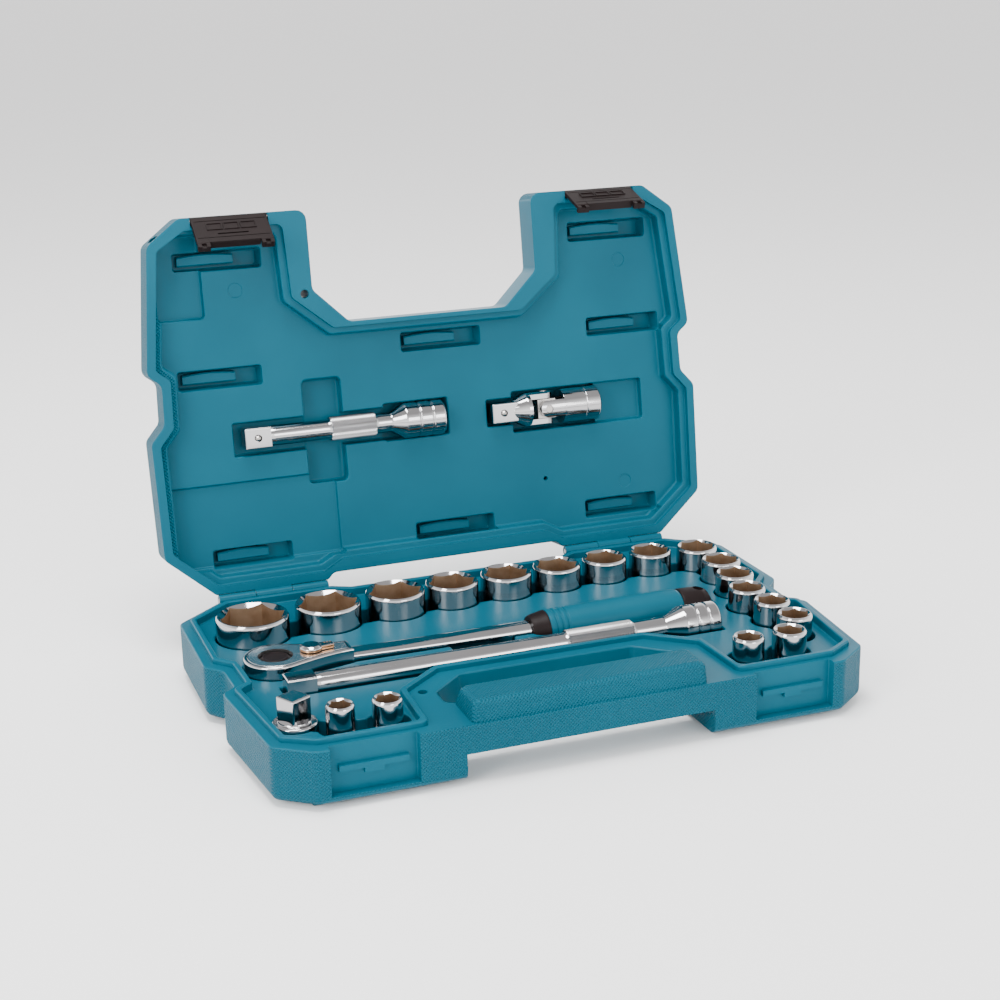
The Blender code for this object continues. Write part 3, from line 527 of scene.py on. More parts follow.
lay_grain(lower_mesh, grained_lower)
place(lower_mesh, "case_lower_half", IN_BASE, [teal], "base", "case_base")


# The upper half, blow-moulded with the lower one. It is drawn shut and mouth up, so its depth is turned over
# and swung open with the hinge. Its tongue-and-groove edge, snap beds and clearance wells are moulded in.

OPEN_ANGLE = math.radians(hinge_joint["range_deg"][0])
IN_LID = HINGE @ Matrix.Rotation(OPEN_ANGLE, 4, "X") @ Matrix.Scale(MM, 4)
MOUTH_UP = Matrix.Diagonal((1, 1, -1, 1))
LID_HALF = [(49.6, -156.6), (70.7, -177.2), (70.7, -224.1)] + BASE_HALF
PANEL = -12.0
LATCH_PIVOT = (-221.6, 4.0)

LID_WELLS = [
    (-123.5, -198.6, 52.0),
    (124.5, -198.3, 52.0),
    (-128.0, -129.6, 50.0),
    (131.8, -138.3, 49.0),
    (10.0, -140.3, 51.0),
    (-117.8, -22.3, 49.0),
    (123.3, -22.6, 49.0),
    (10.6, -22.4, 51.0),
]


def slanted_well(x, y, length):
    """A long well whose sides lean in a little to its floor."""
    rings = []
    for z, half_long, half_wide in (
        (-22.0, length / 2 - 1.4, 4.2),
        (-21.2, length / 2 - 0.8, 4.9),
        (-13.0, length / 2, 5.6),
        (-12.3, length / 2 + 0.3, 6.0),
        (-12.0, length / 2 + 0.9, 6.6),
        (-5.0, length / 2 + 0.9, 6.6),
    ):
        outline = oblong(x - half_long, y - half_wide, x + half_long, y + half_wide, 1.8)
        rings.append([(a, b, z) for a, b in outline(0)])
    return skin(rings)


def bowed_island(x, y, length):
    """The raised step inside a well: its top is bowed along its length, and it stops short of one end."""
    left, right = x - length / 2 + 3.4, x + length * 0.2
    rings = []
    for z, back, front in ((-23.0, 2.6, -3.4), (-17.4, 2.4, -3.0), (-16.6, 1.7, -2.2)):
        lower = [(left + (right - left) * step / 10, step / 10) for step in range(11)]
        edge = [(px, y + front - 1.2 * math.sin(math.pi * share)) for px, share in lower]
        rings.append([(px, py, z) for px, py in edge + [(right, y + back), (left, y + back)]])
    return skin(rings)


def mould_mark(x, y):
    """A round witness mark, a shallow step in the panel."""
    return pocket(round_form(x, y, 4.2, 32), PANEL - 0.35, PANEL, 0.1, 0.3, 2)


lid_outline = rounded(mirrored(LID_HALF), 5.0)
upper = slab(form(mirrored(LID_HALF), 6.0), -25.0, -0.3, 4.5, 0.8, 4)
upper_joins = knuckles((1,), -7.0, -0.4)
upper_cuts = [
    slab(seal_form(-0.5), -3.7, 6.0, 0.5, 0),
    pocket(seal_form(3.8), PANEL, -3.7, 1.5, 1.2),
    bar((*CORD_HOLE, -30), (*CORD_HOLE, 6), CORD_HOLE_RADIUS),
    pocket(oblong(-161.5, -214, -133.7, -165.3, 2.5), -16.0, PANEL, 1.5, 1.0),
    pocket(oblong(-163.5, -66.8, -63.5, -18.0, 1.5), -14.2, PANEL, 0.9, 0.9),
    pocket(oblong(-123.5, -102.0, -27, -82.0, 1.0), -19.8, PANEL, 1.5, 1.0),
    pocket(oblong(-30, -104.0, 11, -81.2, 1.0), -23.3, PANEL, 1.5, 1.0),
    pocket(oblong(-79.5, -123.4, -55.5, -60.4, 3.0), -20.5, PANEL, 2.0, 1.2),
    pocket(oblong(36.5, -99.2, 60, -82.4, 1.0), -23.4, PANEL, 1.5, 1.0),
    pocket(oblong(53.5, -102.7, 111, -77.2, 1.0), -23.4, PANEL, 1.5, 1.0),
    pocket(oblong(105, -102.7, 142, -77.2, 1.5), -17.0, PANEL, 1.5, 1.0),
    pocket(round_form(72.7, -45.8, 1.3, 24), -20.0, PANEL, 0.2, 0.3, 2),
]
upper_cuts += [slanted_well(*well) for well in LID_WELLS]
for spot in ((-114.4, -180.2), (131.5, -178.9), (-114.3, -35.6), (126.9, -38.0)):
    upper_cuts.append(mould_mark(*spot))
for middle in LATCH_SIDES:
    upper_cuts.append(box((middle - LATCH_RECESS, -232, -13.0), (middle + LATCH_RECESS, -218.0, 6), 0.8))
    reach = LATCH_RECESS + 2.4
    ends = [(middle + end * reach, LATCH_PIVOT[0], -LATCH_PIVOT[1]) for end in (-1, 1)]
    upper_cuts.append(bar(ends[0], ends[1], 1.5, 16))
upper_cuts += knuckle_room((0, 2))
upper_mesh = carve(upper, upper_joins, upper_cuts, [bowed_island(*well) for well in LID_WELLS])


def grained_upper(spot, n):
    x, y, z = spot
    if z > -1.2 or in_latch_recess(x, y) or (abs(x) < 71 and y < -150):
        return False
    return n.z < -0.9 and z < -24 or nearest_edge(x, y, lid_outline) < 4.8


lay_grain(upper_mesh, grained_upper)
place(upper_mesh, "case_upper_half", IN_LID @ MOUTH_UP, [teal], "lid", "case_lid")


# The two latches are moulded from dark brown plastic. Each hangs on a steel pin through the lid, with an
# embossed outer face, a slot, hooked corners and small stiffening ribs at its free end.

LATCH_HANG = {"left": 42.0, "right": 25.0}
INNER_STEEL = ["hinge_pin_left", "hinge_pin_right", "latch_pin_left", "latch_pin_right"]


def speckled(name, low, high, scale, smooth, rough, metallic, relief, specular=0.5):
    """A surface whose colour and sheen wander slightly between two states, over a very fine relief."""
    made = bpy.data.materials.new(name)
    made.use_nodes = True
    tree = made.node_tree
    shader = tree.nodes["Principled BSDF"]
    shader.inputs["Metallic"].default_value = metallic
    shader.inputs["Specular IOR Level"].default_value = specular
    spots = node_of(tree, "ShaderNodeTexCoord").outputs["Object"]
    clouds = node_of(tree, "ShaderNodeTexNoise")
    clouds.inputs["Scale"].default_value = scale
    clouds.inputs["Detail"].default_value = 4.0
    tree.links.new(spots, clouds.inputs["Vector"])
    shade = node_of(tree, "ShaderNodeValToRGB")
    shade.color_ramp.elements[0].position = 0.3
    shade.color_ramp.elements[0].color = (*low, 1)
    shade.color_ramp.elements[1].position = 0.7
    shade.color_ramp.elements[1].color = (*high, 1)
    tree.links.new(clouds.outputs["Fac"], shade.inputs["Fac"])
    tree.links.new(shade.outputs["Color"], shader.inputs["Base Color"])
    sheen = node_of(tree, "ShaderNodeMapRange")
    sheen.inputs["To Min"].default_value = smooth
    sheen.inputs["To Max"].default_value = rough
    tree.links.new(clouds.outputs["Fac"], sheen.inputs["Value"])
    tree.links.new(sheen.outputs["Result"], shader.inputs["Roughness"])
    grit = node_of(tree, "ShaderNodeTexNoise")
    grit.inputs["Scale"].default_value = 900.0
    tree.links.new(spots, grit.inputs["Vector"])
    bump = node_of(tree, "ShaderNodeBump")
    bump.inputs["Strength"].default_value = relief
    bump.inputs["Distance"].default_value = 0.0001
    tree.links.new(grit.outputs["Fac"], bump.inputs["Height"])
    tree.links.new(bump.outputs["Normal"], shader.inputs["Normal"])
    return made


def dress(names, material):
    """Gives the finish to nodes that are shown as they were built."""
    for name in names:
        for holder in frame["nodes"][name].material_slots:
            holder.material = material


def group_inputs(tree, wanted):
    """Adds the named inputs of a node group, and gives back the identifier of each."""
    made = {}
    for name, kind in wanted:
        made[name] = tree.interface.new_socket(name=name, in_out="INPUT", socket_type=kind).identifier
    tree.interface.new_socket(name="Geometry", in_out="OUTPUT", socket_type="NodeSocketGeometry")
    return made


def finish_group(tree, source, instances):
    """Ends a group: the instances become real, and take the material."""
    real = node_of(tree, "GeometryNodeRealizeInstances")
    coated = node_of(tree, "GeometryNodeSetMaterial")
    tree.links.new(instances, real.inputs["Geometry"])
    tree.links.new(real.outputs["Geometry"], coated.inputs["Geometry"])
    tree.links.new(source.outputs["Surface"], coated.inputs["Material"])
    tree.links.new(coated.outputs["Geometry"], node_of(tree, "NodeGroupOutput").inputs["Geometry"])


def grown(tree, sockets, values):
    """The mesh that a node group makes with these values."""
    host = linked("host", bpy.data.meshes.new("host"))
    work = host.modifiers.new("repeat", "NODES")
    work.node_group = tree
    for name, value in values.items():
        work[sockets[name]] = value
    bpy.context.view_layer.update()
    done = baked(host)
    bpy.data.objects.remove(host)
    return done


def rib_group():
    """A straight row of upright ribs."""
    tree = bpy.data.node_groups.new("rib_row", "GeometryNodeTree")
    sockets = group_inputs(tree, [
        ("Count", "NodeSocketInt"),
        ("Start", "NodeSocketVector"),
        ("Step", "NodeSocketVector"),
        ("Size", "NodeSocketVector"),
        ("Surface", "NodeSocketMaterial"),
    ])
    source = node_of(tree, "NodeGroupInput")
    line = node_of(tree, "GeometryNodeMeshLine")
    tree.links.new(source.outputs["Count"], line.inputs["Count"])
    tree.links.new(source.outputs["Start"], line.inputs["Start Location"])
    tree.links.new(source.outputs["Step"], line.inputs["Offset"])
    rib = node_of(tree, "GeometryNodeMeshCube")
    tree.links.new(source.outputs["Size"], rib.inputs["Size"])
    spread = node_of(tree, "GeometryNodeInstanceOnPoints")
    tree.links.new(line.outputs["Mesh"], spread.inputs["Points"])
    tree.links.new(rib.outputs["Mesh"], spread.inputs["Instance"])
    finish_group(tree, source, spread.outputs["Instances"])
    return tree, sockets


def latch_frames(front, back, inset_by):
    """The three rectangles embossed on a latch's face: their outlines, or what empties them."""
    wide, high, middle = 4.6 - inset_by, 2.8 - inset_by, -8.0
    return [box((x - wide, front, middle - high), (x + wide, back, middle + high)) for x in (-9.9, 0, 9.9)]


dark = speckled("dark_plastic", (0.007, 0.004, 0.004), (0.01, 0.006, 0.006), 60.0, 0.42, 0.52, 0.0, 0.12, 0.11)
oiled = speckled("dark_steel", (0.03, 0.028, 0.028), (0.06, 0.055, 0.05), 300.0, 0.3, 0.42, 1.0, 0.1)
steel = speckled("ground_steel", (0.36, 0.34, 0.32), (0.46, 0.44, 0.42), 400.0, 0.22, 0.34, 1.0, 0.12)
dress(INNER_STEEL, steel)
rib_tree, rib_sockets = rib_group()
for which, side in (("left", -1), ("right", 1)):
    hang = Matrix.Rotation(math.radians(LATCH_HANG[which]), 4, "X")
    pivot = Matrix.Translation((side * LATCH_MIDDLE, *LATCH_PIVOT))
    lying_down = Matrix.Rotation(math.pi / 2, 4, "X")
    plate = slab(oblong(-22.4, -21.0, 22.4, 1.0, 1.2), 0.4, 2.4, 0.2, 0.5)
    plate.data.transform(lying_down)
    plate.data.update()
    joins = [bar((-22.4, 0, 0), (22.4, 0, 0), 2.4, 32)]
    joins.append(box((-16.4, -0.6, -21), (16.4, 2.0, -18.6)))
    joins.append(box((-14.8, -2.7, -20.9), (14.8, -2.2, -18.3)))
    cuts = [bar((-23.4, 0, 0), (23.4, 0, 0), 1.5, 24), box((-9, -3.2, -14.6), (9, -1.6, -13.6))]
    for x in (-18.6, 18.6):
        joins.append(box((x - 3.6, -2.2, -24), (x + 3.6, 1.6, -19)))
        cuts.append(box((x - 1.4, -3.0, -25), (x + 1.4, -1.0, -21.2)))
        cuts.append(box((x - 3.8, -0.4, -21.5), (x + 3.8, 2.6, -18.9)))
    for line in (-16.9, -3.0):
        cuts.append(box((-21, -3.0, line - 0.25), (21, -2.1, line + 0.25)))
    face = linked("face", carve(plate, joins, cuts, latch_frames(-2.95, -2.2, 0)))
    face = carve(face, (), latch_frames(-4.42, -2.42, 0.6))
    swung = IN_LID @ pivot @ hang
    latch = "latch_" + which
    place(face, latch + "_moulding", swung, [dark], latch, latch)
    ribs = grown(rib_tree, rib_sockets, {
        "Count": 5, "Start": (-12.0, 0.6, -16.4), "Step": (6.0, 0, 0), "Size": (1.1, 2.2, 4.6), "Surface": dark,
    })
    place(ribs, latch + "_ribs", swung, [dark], latch, None)


# The eighteen sockets are forged, turned, broached and chromed: a round wall polished bright, a hexagon
# whose mouth is bevelled so that its corners rise in points, and bronze-brown bare faces inside.

SOCKET_LENGTH = 38.0
SOCKET_BOTTOM = -27.0
SQUARE_HOLE = 6.55
ETCHED_SIZES = (16, 18, 20, 21, 22, 23)
ETCHED_BAND = (26.6, 29.9)


def turned(profile, steps=64):
    """A round piece about the upright axis, through points of radius and height, lowest first."""
    return skin([[(x, y, z) for x, y in circle(0, 0, radius, steps)] for radius, z in profile])


def eased(profile, radius=0.5, steps=3):
    """The open profile with each inner corner turned into a small curve."""
    result = [profile[0]]
    for before, here, after in zip(profile, profile[1:], profile[2:]):
        corner = Vector(here)
        back, ahead = Vector(before) - corner, Vector(after) - corner
        first = corner + back.normalized() * min(radius, 0.45 * back.length)
        last = corner + ahead.normalized() * min(radius, 0.45 * ahead.length)
        for step in range(steps + 1):
            share = step / steps
            result.append(tuple(first.lerp(corner, share).lerp(corner.lerp(last, share), share)))
    return result + [profile[-1]]


def prism(sides, across_corners, low, high):
    return slab(lambda move: circle(0, 0, across_corners / 2, sides), low, high)


def square_hole(half, low, high):
    return box((-half, -half, low), (half, half, high))


def facing_in(spot, n):
    """Whether a face is part of an upright hole's wall."""
    return abs(n.z) < 0.3 and n.x * spot.x + n.y * spot.y < 0 and math.hypot(spot.x, spot.y) < 20


polished = speckled("polished_chrome", (0.4, 0.395, 0.4), (0.44, 0.435, 0.44), 30.0, 0.06, 0.12, 1.0, 0.01)
banded = speckled("etched_chrome", (0.3, 0.295, 0.3), (0.44, 0.435, 0.44), 1300.0, 0.08, 0.3, 1.0, 0.25)
bare = speckled("bare_bore", (0.4, 0.27, 0.17), (0.52, 0.37, 0.25), 160.0, 0.34, 0.46, 1.0, 0.05)
for size, head, x, y in SOCKETS:
    nut, drive = head / 2, drive_end(head) / 2
    shoulder = 0.42 * SOCKET_LENGTH
    wall = turned(eased([
        (drive - 1.6, 0),
        (drive, 1.2),
        (drive, shoulder),
        (nut, shoulder + 0.8 * abs(nut - drive) + 1.5),
        (nut, 26.5),
        (nut, 30.0),
        (nut, SOCKET_LENGTH - 1.3),
        (nut - 0.9, SOCKET_LENGTH),
    ], 0.9))
    corner = size / math.sqrt(3) + 0.15
    flat = corner * math.cos(math.pi / 6)
    reach = min(corner + 0.5, nut - 1.0)
    fall = (reach - flat) * 0.62
    bevel = turned([
        (flat - 0.6, SOCKET_LENGTH - fall - 0.6),
        (reach, SOCKET_LENGTH),
        (reach + 1.2, SOCKET_LENGTH + 1.2),
    ])
    bore_floor = SOCKET_LENGTH * 0.48
    hexagon = prism(6, 2 * corner, bore_floor, SOCKET_LENGTH + 2)
    mesh = carve(wall, (), (hexagon, square_hole(SQUARE_HOLE, -2, bore_floor + 0.5), bevel))
    label = "socket_" + str(size) + "mm"
    finish = banded if size in ETCHED_SIZES else polished
    middle = IN_BASE @ Matrix.Translation((x, y, SOCKET_BOTTOM))

    def shade_of(spot, n, outer=nut):
        if facing_in(spot, n):
            return 1
        on_band = ETCHED_BAND[0] < spot.z < ETCHED_BAND[1]
        return 2 if on_band and math.hypot(spot.x, spot.y) > outer - 0.5 else 0

    place(mesh, label + "_forging", middle, [polished, bare, finish], label, label, paint=shade_of)


# The adapter that stands in the front corner: a turned and chromed body with a raised ring, a small square
# hole below and the large drive square above, which holds a steel ball.

BALL_SEAT = 2.3
DRIVE_HALF = 6.35


def drive_square(low, high):
    """A drive square with rounded edges and a bevelled end."""
    outline = oblong(-DRIVE_HALF, -DRIVE_HALF, DRIVE_HALF, DRIVE_HALF, 1.0, 3)
    return slab(outline, low, high, 0, 1.1)


def seat(height, direction):
    """The hole for the ball in the side of a drive square."""
    side, up_there = Vector(direction), Vector((0, 0, height))
    return bar(side * 1.95 + up_there, side * 8.4 + up_there, BALL_SEAT)


adapter_wall = turned(eased([
    (10.2, 0), (11.0, 0.8), (11.0, 16.0), (10.5, 16.5), (10.5, 18.5), (11.0, 19.0), (11.0, 23.2),
    (11.7, 24.0), (11.7, 26.0), (11.0, 26.8), (8.6, 26.8), (8.2, 27.6),
], 0.4))
adapter_mesh = carve(adapter_wall, [drive_square(25, 40.5)], [square_hole(4.9, -2, 12), seat(35.0, (0, 1, 0))])
adapter_at = IN_BASE @ Matrix.Translation((*ADAPTER, SOCKET_BOTTOM)) @ Matrix.Rotation(math.radians(28), 4, "Z")
place(adapter_mesh, "adapter_turning", adapter_at, [polished, bare], "adapter", "adapter_body")
dress(["adapter_ball"], steel)


# The two extension bars are turned from steel bar and chromed. Each has a drive square with its ball, a
# rolled diamond knurl, a cone, and a grooved end with the square socket in it.

LYING = Matrix.Rotation(-math.pi / 2, 4, "Y")


def knurl_group():
    """Staggered rows of small pyramids that stand out of a round bar."""
    tree = bpy.data.node_groups.new("diamond_knurl", "GeometryNodeTree")
    sockets = group_inputs(tree, [
        ("Around", "NodeSocketInt"),
        ("Rows", "NodeSocketInt"),
        ("Length", "NodeSocketFloat"),
        ("Radius", "NodeSocketFloat"),
        ("Height", "NodeSocketFloat"),
        ("Width", "NodeSocketFloat"),
        ("Surface", "NodeSocketMaterial"),
    ])
    source = node_of(tree, "NodeGroupInput")
    grid = node_of(tree, "GeometryNodeMeshGrid")
    grid.inputs["Size X"].default_value = 1.0
    tree.links.new(source.outputs["Length"], grid.inputs["Size Y"])
    tree.links.new(source.outputs["Around"], grid.inputs["Vertices X"])
    tree.links.new(source.outputs["Rows"], grid.inputs["Vertices Y"])
    parts = node_of(tree, "ShaderNodeSeparateXYZ")
    tree.links.new(node_of(tree, "GeometryNodeInputPosition").outputs["Position"], parts.inputs["Vector"])
    share = maths(tree, "ADD", maths(tree, "DIVIDE", parts.outputs["Y"], source.outputs["Length"]), 0.5)
    steps_along = maths(tree, "SUBTRACT", source.outputs["Rows"], 1.0)
    row = maths(tree, "ROUND", maths(tree, "MULTIPLY", share, steps_along))
    odd = maths(tree, "MULTIPLY", maths(tree, "MODULO", row, 2.0), 0.5)
    steps_round = maths(tree, "SUBTRACT", source.outputs["Around"], 1.0)
    column = maths(tree, "MULTIPLY", maths(tree, "ADD", parts.outputs["X"], 0.5), steps_round)
    lap = maths(tree, "DIVIDE", maths(tree, "ADD", column, odd), source.outputs["Around"])
    turn = maths(tree, "MULTIPLY", lap, 2 * math.pi)
    spot = node_of(tree, "ShaderNodeCombineXYZ")
    tree.links.new(maths(tree, "MULTIPLY", maths(tree, "COSINE", turn), source.outputs["Radius"]), spot.inputs["X"])
    tree.links.new(maths(tree, "MULTIPLY", maths(tree, "SINE", turn), source.outputs["Radius"]), spot.inputs["Y"])
    tree.links.new(parts.outputs["Y"], spot.inputs["Z"])
    bent = node_of(tree, "GeometryNodeSetPosition")
    tree.links.new(grid.outputs["Mesh"], bent.inputs["Geometry"])
    tree.links.new(spot.outputs["Vector"], bent.inputs["Position"])
    facing = node_of(tree, "ShaderNodeCombineXYZ")
    facing.inputs["Y"].default_value = math.pi / 2
    tree.links.new(turn, facing.inputs["Z"])
    point = node_of(tree, "GeometryNodeMeshCone")
    point.inputs["Vertices"].default_value = 4
    tree.links.new(maths(tree, "MULTIPLY", source.outputs["Width"], 0.16), point.inputs["Radius Top"])
    tree.links.new(source.outputs["Width"], point.inputs["Radius Bottom"])
    tree.links.new(source.outputs["Height"], point.inputs["Depth"])
    spread = node_of(tree, "GeometryNodeInstanceOnPoints")
    tree.links.new(bent.outputs["Geometry"], spread.inputs["Points"])
    tree.links.new(point.outputs["Mesh"], spread.inputs["Instance"])
    keep_turn = node_of(tree, "GeometryNodeStoreNamedAttribute", data_type="FLOAT_VECTOR", domain="POINT")
    keep_turn.inputs["Name"].default_value = "facing"
    tree.links.new(grid.outputs["Mesh"], keep_turn.inputs["Geometry"])
    tree.links.new(facing.outputs["Vector"], keep_turn.inputs["Value"])
    tree.links.new(keep_turn.outputs["Geometry"], bent.inputs["Geometry"])
    recall = node_of(tree, "GeometryNodeInputNamedAttribute", data_type="FLOAT_VECTOR")
    recall.inputs["Name"].default_value = "facing"
    tree.links.new(recall.outputs["Attribute"], spread.inputs["Rotation"])
    finish_group(tree, source, spread.outputs["Instances"])
    return tree, sockets


def extension_bar(length, ring_end, neck, knurl, ball_side):
    top = length - 15.5
    profile = [(10.0, 0), (10.8, 0.8)]
    for groove in (ring_end * 0.33, ring_end * 0.66):
        profile += [(10.8, groove - 0.7), (10.3, groove - 0.35), (10.3, groove + 0.35), (10.8, groove + 0.7)]
    profile += [(10.8, ring_end), (6.1, neck), (6.1, knurl[0] - 1.2), (6.6, knurl[0]), (6.6, knurl[1])]
    profile += [(6.1, knurl[1] + 1.2), (6.1, top - 3), (5.9, top), (5.9, top + 1)]
    shaft = turned(eased(profile, 0.7))
    cuts = [square_hole(SQUARE_HOLE, -2, 16), seat(length - 8.0, ball_side)]
    return carve(shaft, [drive_square(top - 0.4, length)], cuts)


knurl_tree, knurl_sockets = knurl_group()
long_at = IN_BASE @ Matrix.Translation((109.5, -142.6, 0)) @ LYING
short_at = IN_LID @ Matrix.Translation((7.0, -92.6, 12.1)) @ LYING
for kind, length, ring_end, neck, knurl, ball_side, where in (
    ("long", 250.0, 21.0, 32.0, (52.0, 91.0), (0, 1, 0), long_at),
    ("short", 125.0, 25.0, 33.5, (43.7, 71.4), (-1, 0, 0), short_at),
):
    body = kind + "_extension"
    mesh = extension_bar(length, ring_end, neck, knurl, ball_side)
    place(mesh, body + "_turning", where, [polished], body, body + "_bar")
    long = knurl[1] - knurl[0]
    points = grown(knurl_tree, knurl_sockets, {
        "Around": 27, "Rows": round(long / 0.82), "Length": long - 0.8, "Radius": 6.85, "Height": 0.6,
        "Width": 0.84, "Surface": polished,
    })
    points.transform(Matrix.Translation((0, 0, (knurl[0] + knurl[1]) / 2)))
    place(points, body + "_knurl", where, [polished], body, None, sharp=20)
    dress([body + "_ball"], steel)


# The universal joint: two chromed yokes at right angles to each other, each pinned to a steel block so that
# the drive square can lean over. The yokes' ears are milled out of round bar.

PIVOT = 35.4


def ears(axis, toward):
    """Two round-ended ears that straddle the block, one way across or the other."""
    made = []
    foot = PIVOT + toward * 11.8
    for side in (-1, 1):
        near, far = sorted((side * 6.3, side * 10.9))
        low, high = sorted((PIVOT, foot))
        if axis == 0:
            made.append(box((near, -5.3, low), (far, 5.3, high)))
            made.append(bar((near, 0, PIVOT), (far, 0, PIVOT), 5.3, 40))
        else:
            made.append(box((-5.3, near, low), (5.3, far, high)))
            made.append(bar((0, near, PIVOT), (0, far, PIVOT), 5.3, 40))
    return made


joint_at = IN_LID @ Matrix.Translation((109.7, -90.8, 11.8)) @ LYING
drive_part = turned(eased([(10.7, 46.2), (10.7, 48.5), (8.2, 54), (6.6, 57), (6.4, 57.3)], 0.6))
drive_mesh = carve(
    drive_part,
    [drive_square(55.0, 71.5)] + ears(1, 1),
    [bar((0, -15, PIVOT), (0, 15, PIVOT), 2.5), seat(64.0, (-1, 0, 0))],
    within=[turned(eased([(10.6, 29), (10.75, 30), (10.75, 47), (10.7, 49), (10.7, 73)], 0.4))],
)
place(drive_mesh, "joint_drive_forging", joint_at, [polished], "joint_drive_end", "joint_drive_yoke")
socket_part = turned(eased([(10.1, 0), (10.9, 0.8), (10.9, 9.2), (10.5, 9.6), (10.9, 10.0), (10.9, 24.6)], 0.3))
socket_mesh = carve(
    socket_part,
    ears(0, -1),
    [bar((-15, 0, PIVOT), (15, 0, PIVOT), 2.5), square_hole(SQUARE_HOLE, -2, 17)],
    within=[turned([(11.0, -1), (11.0, 24), (10.75, 25), (10.75, 42)])],
)
place(socket_mesh, "joint_socket_forging", joint_at, [polished], "joint_socket_end", "joint_socket_yoke")
dress(["joint_block", "joint_long_pin", "joint_short_pin_inner", "joint_short_pin_outer", "joint_ball"], steel)


# The ratchet: a chromed forging with its round head tapering into the bar, a flat cover plate, a dark
# release button over the gear, and a small lever that turns the pawl. Its grip is a teal sleeve between a
# flared black collar and a black end cap with a hanging hole.

LEVER_X = 20.0
SCREW_Y = 15.35
SCREW_HOLE = 1.4
ALONG_X = Matrix.Rotation(math.pi / 2, 4, "Y")


def head_form(move):
    """The round head and its taper into the neck, as far in from the edge as asked."""
    radius = 17.5 - move
    half = []
    for step in range(21):
        turn = math.radians(68 + step * 112 / 20)
        half.append((radius * math.cos(turn), radius * math.sin(turn)))
    a, d = Vector(half[0]), Vector((42.0 - move, 7.0 - move))
    b, c = a + Vector((12.0, -4.85)), d - Vector((11.0, 0))
    taper = []
    for step in range(1, 11):
        share = step / 10
        rest = 1 - share
        taper.append(tuple(a * rest**3 + b * 3 * rest**2 * share + c * 3 * rest * share**2 + d * share**3))
    upper = list(reversed(taper)) + half
    return upper + [(x, -y) for x, y in reversed(upper[:-1])]


def bar_section(x, half_wide, half_high, radius):
    return [(x, y, z) for y, z in oblong(-half_wide, -half_high, half_wide, half_high, radius, 6)(0)]


def upright_rod(x, y, low, high, radius, steps=40):
    return bar((x, y, low), (x, y, high), radius, steps)


ratchet_at = IN_BASE @ Matrix.Translation(RATCHET)
satin = speckled("satin_chrome", (0.62, 0.62, 0.63), (0.68, 0.68, 0.69), 60.0, 0.2, 0.28, 1.0, 0.03)
head = slab(head_form, -11.0, 9.5, 2.2, 1.4, 4)
handle = skin([
    bar_section(34, 6.4, 6.2, 2.2),
    bar_section(44, 6.4, 6.0, 2.4),
    bar_section(70, 6.3, 5.6, 2.8),
    bar_section(110, 6.5, 6.0, 4.4),
    bar_section(144, 6.6, 6.5, 6.2),
    bar_section(246, 6.6, 6.6, 6.5),
])
body_mesh = carve(head, [handle], [
    upright_rod(0, 0, -7, 20, 13.1),
    upright_rod(0, 0, -20, 0, 9.5),
    slab(lambda move: head_form(2.0), 7.3, 20),
    upright_rod(LEVER_X, 0, -7, 20, 7.4),
    bar((LEVER_X + 5, 0, -1), (LEVER_X + 13.4, 0, -1), 2.1),
    upright_rod(0, SCREW_Y, -20, 20, SCREW_HOLE, 20),
    upright_rod(0, -SCREW_Y, -20, 20, SCREW_HOLE, 20),
])
place(body_mesh, "ratchet_forging", ratchet_at, [polished], "ratchet", "ratchet_head_and_bar")
cover_mesh = carve(slab(lambda move: head_form(2.3 + move), 7.6, 9.5, 0, 0.3), (), [
    upright_rod(0, 0, 0, 20, 9.6),
    upright_rod(LEVER_X, 0, 0, 20, 4.6),
    upright_rod(0, SCREW_Y - 0.9, 0, 8.9, SCREW_HOLE, 20),
    upright_rod(0, 0.9 - SCREW_Y, 0, 8.9, SCREW_HOLE, 20),
])
place(cover_mesh, "ratchet_cover", ratchet_at, [satin], "ratchet", "ratchet_cover_plate")
button = turned(eased([
    (2.7, -18.6), (2.7, -16.6), (1.3, -16.0), (1.3, -12.4), (2.7, -11.0), (2.7, 5.2), (7.6, 5.2), (7.6, 8.2),
    (6.6, 9.0), (6.2, 8.8), (5.6, 8.7), (0.8, 8.6),
], 0.25))
place(
    carve(button), "release_button_cap", ratchet_at, [dark], "release_button",
    "ratchet_release_button",
)

# The reversing lever is chrome on its upward faces. Its lower collar and every tab face not turned up (underside,
# sides and groove walls) take a darker bronze, which is painted shade.
bronze = speckled("bronze_painted_shade", (0.3, 0.15, 0.07), (0.42, 0.24, 0.13), 200.0, 0.16, 0.3, 1.0, 0.05)
lever_at = ratchet_at @ Matrix.Translation((LEVER_X, 0, 0))
lever = turned(eased([(4.1, -6.4), (4.1, 9.9), (6.2, 9.9), (6.2, 11.6), (4.6, 12.9), (4.2, 12.9)], 0.4))
tab = slab(form([(2, -3.6), (12.6, -2.6), (12.6, 2.6), (2, 3.6)], 1.5), 9.9, 12.2, 0.2, 0.7)
grooves = [box((x, -2.2, 11.9), (x + 0.7, 2.2, 13.0)) for x in (7.6, 9.2, 10.8)]


# Painted shade: below 11 mm, and on tab faces turned away from above, the lever takes the darker bronze.
def lever_shade(spot, n):
    return 1 if spot.z < 11.0 or (spot.x > 5.5 and n.z < 0.7) else 0


place(
    carve(lever, [tab], grooves), "reversing_lever_casting", lever_at, [polished, bronze], "reversing_lever",
    "ratchet_reversing_lever", paint=lever_shade,
)
dress(["ratchet_gear", "ratchet_pawl"], oiled)
dress([
    "ratchet_release_spring", "ratchet_pawl_spring", "ratchet_drive_ball",
    "ratchet_cover_screw_front", "ratchet_cover_screw_rear",
], steel)

sleeve_teal = speckled("teal_grip", (0.0, 0.068, 0.105), (0.0, 0.076, 0.116), 25.0, 0.38, 0.46, 0.0, 0.2, 0.13)
GRIP_BORE = 6.9


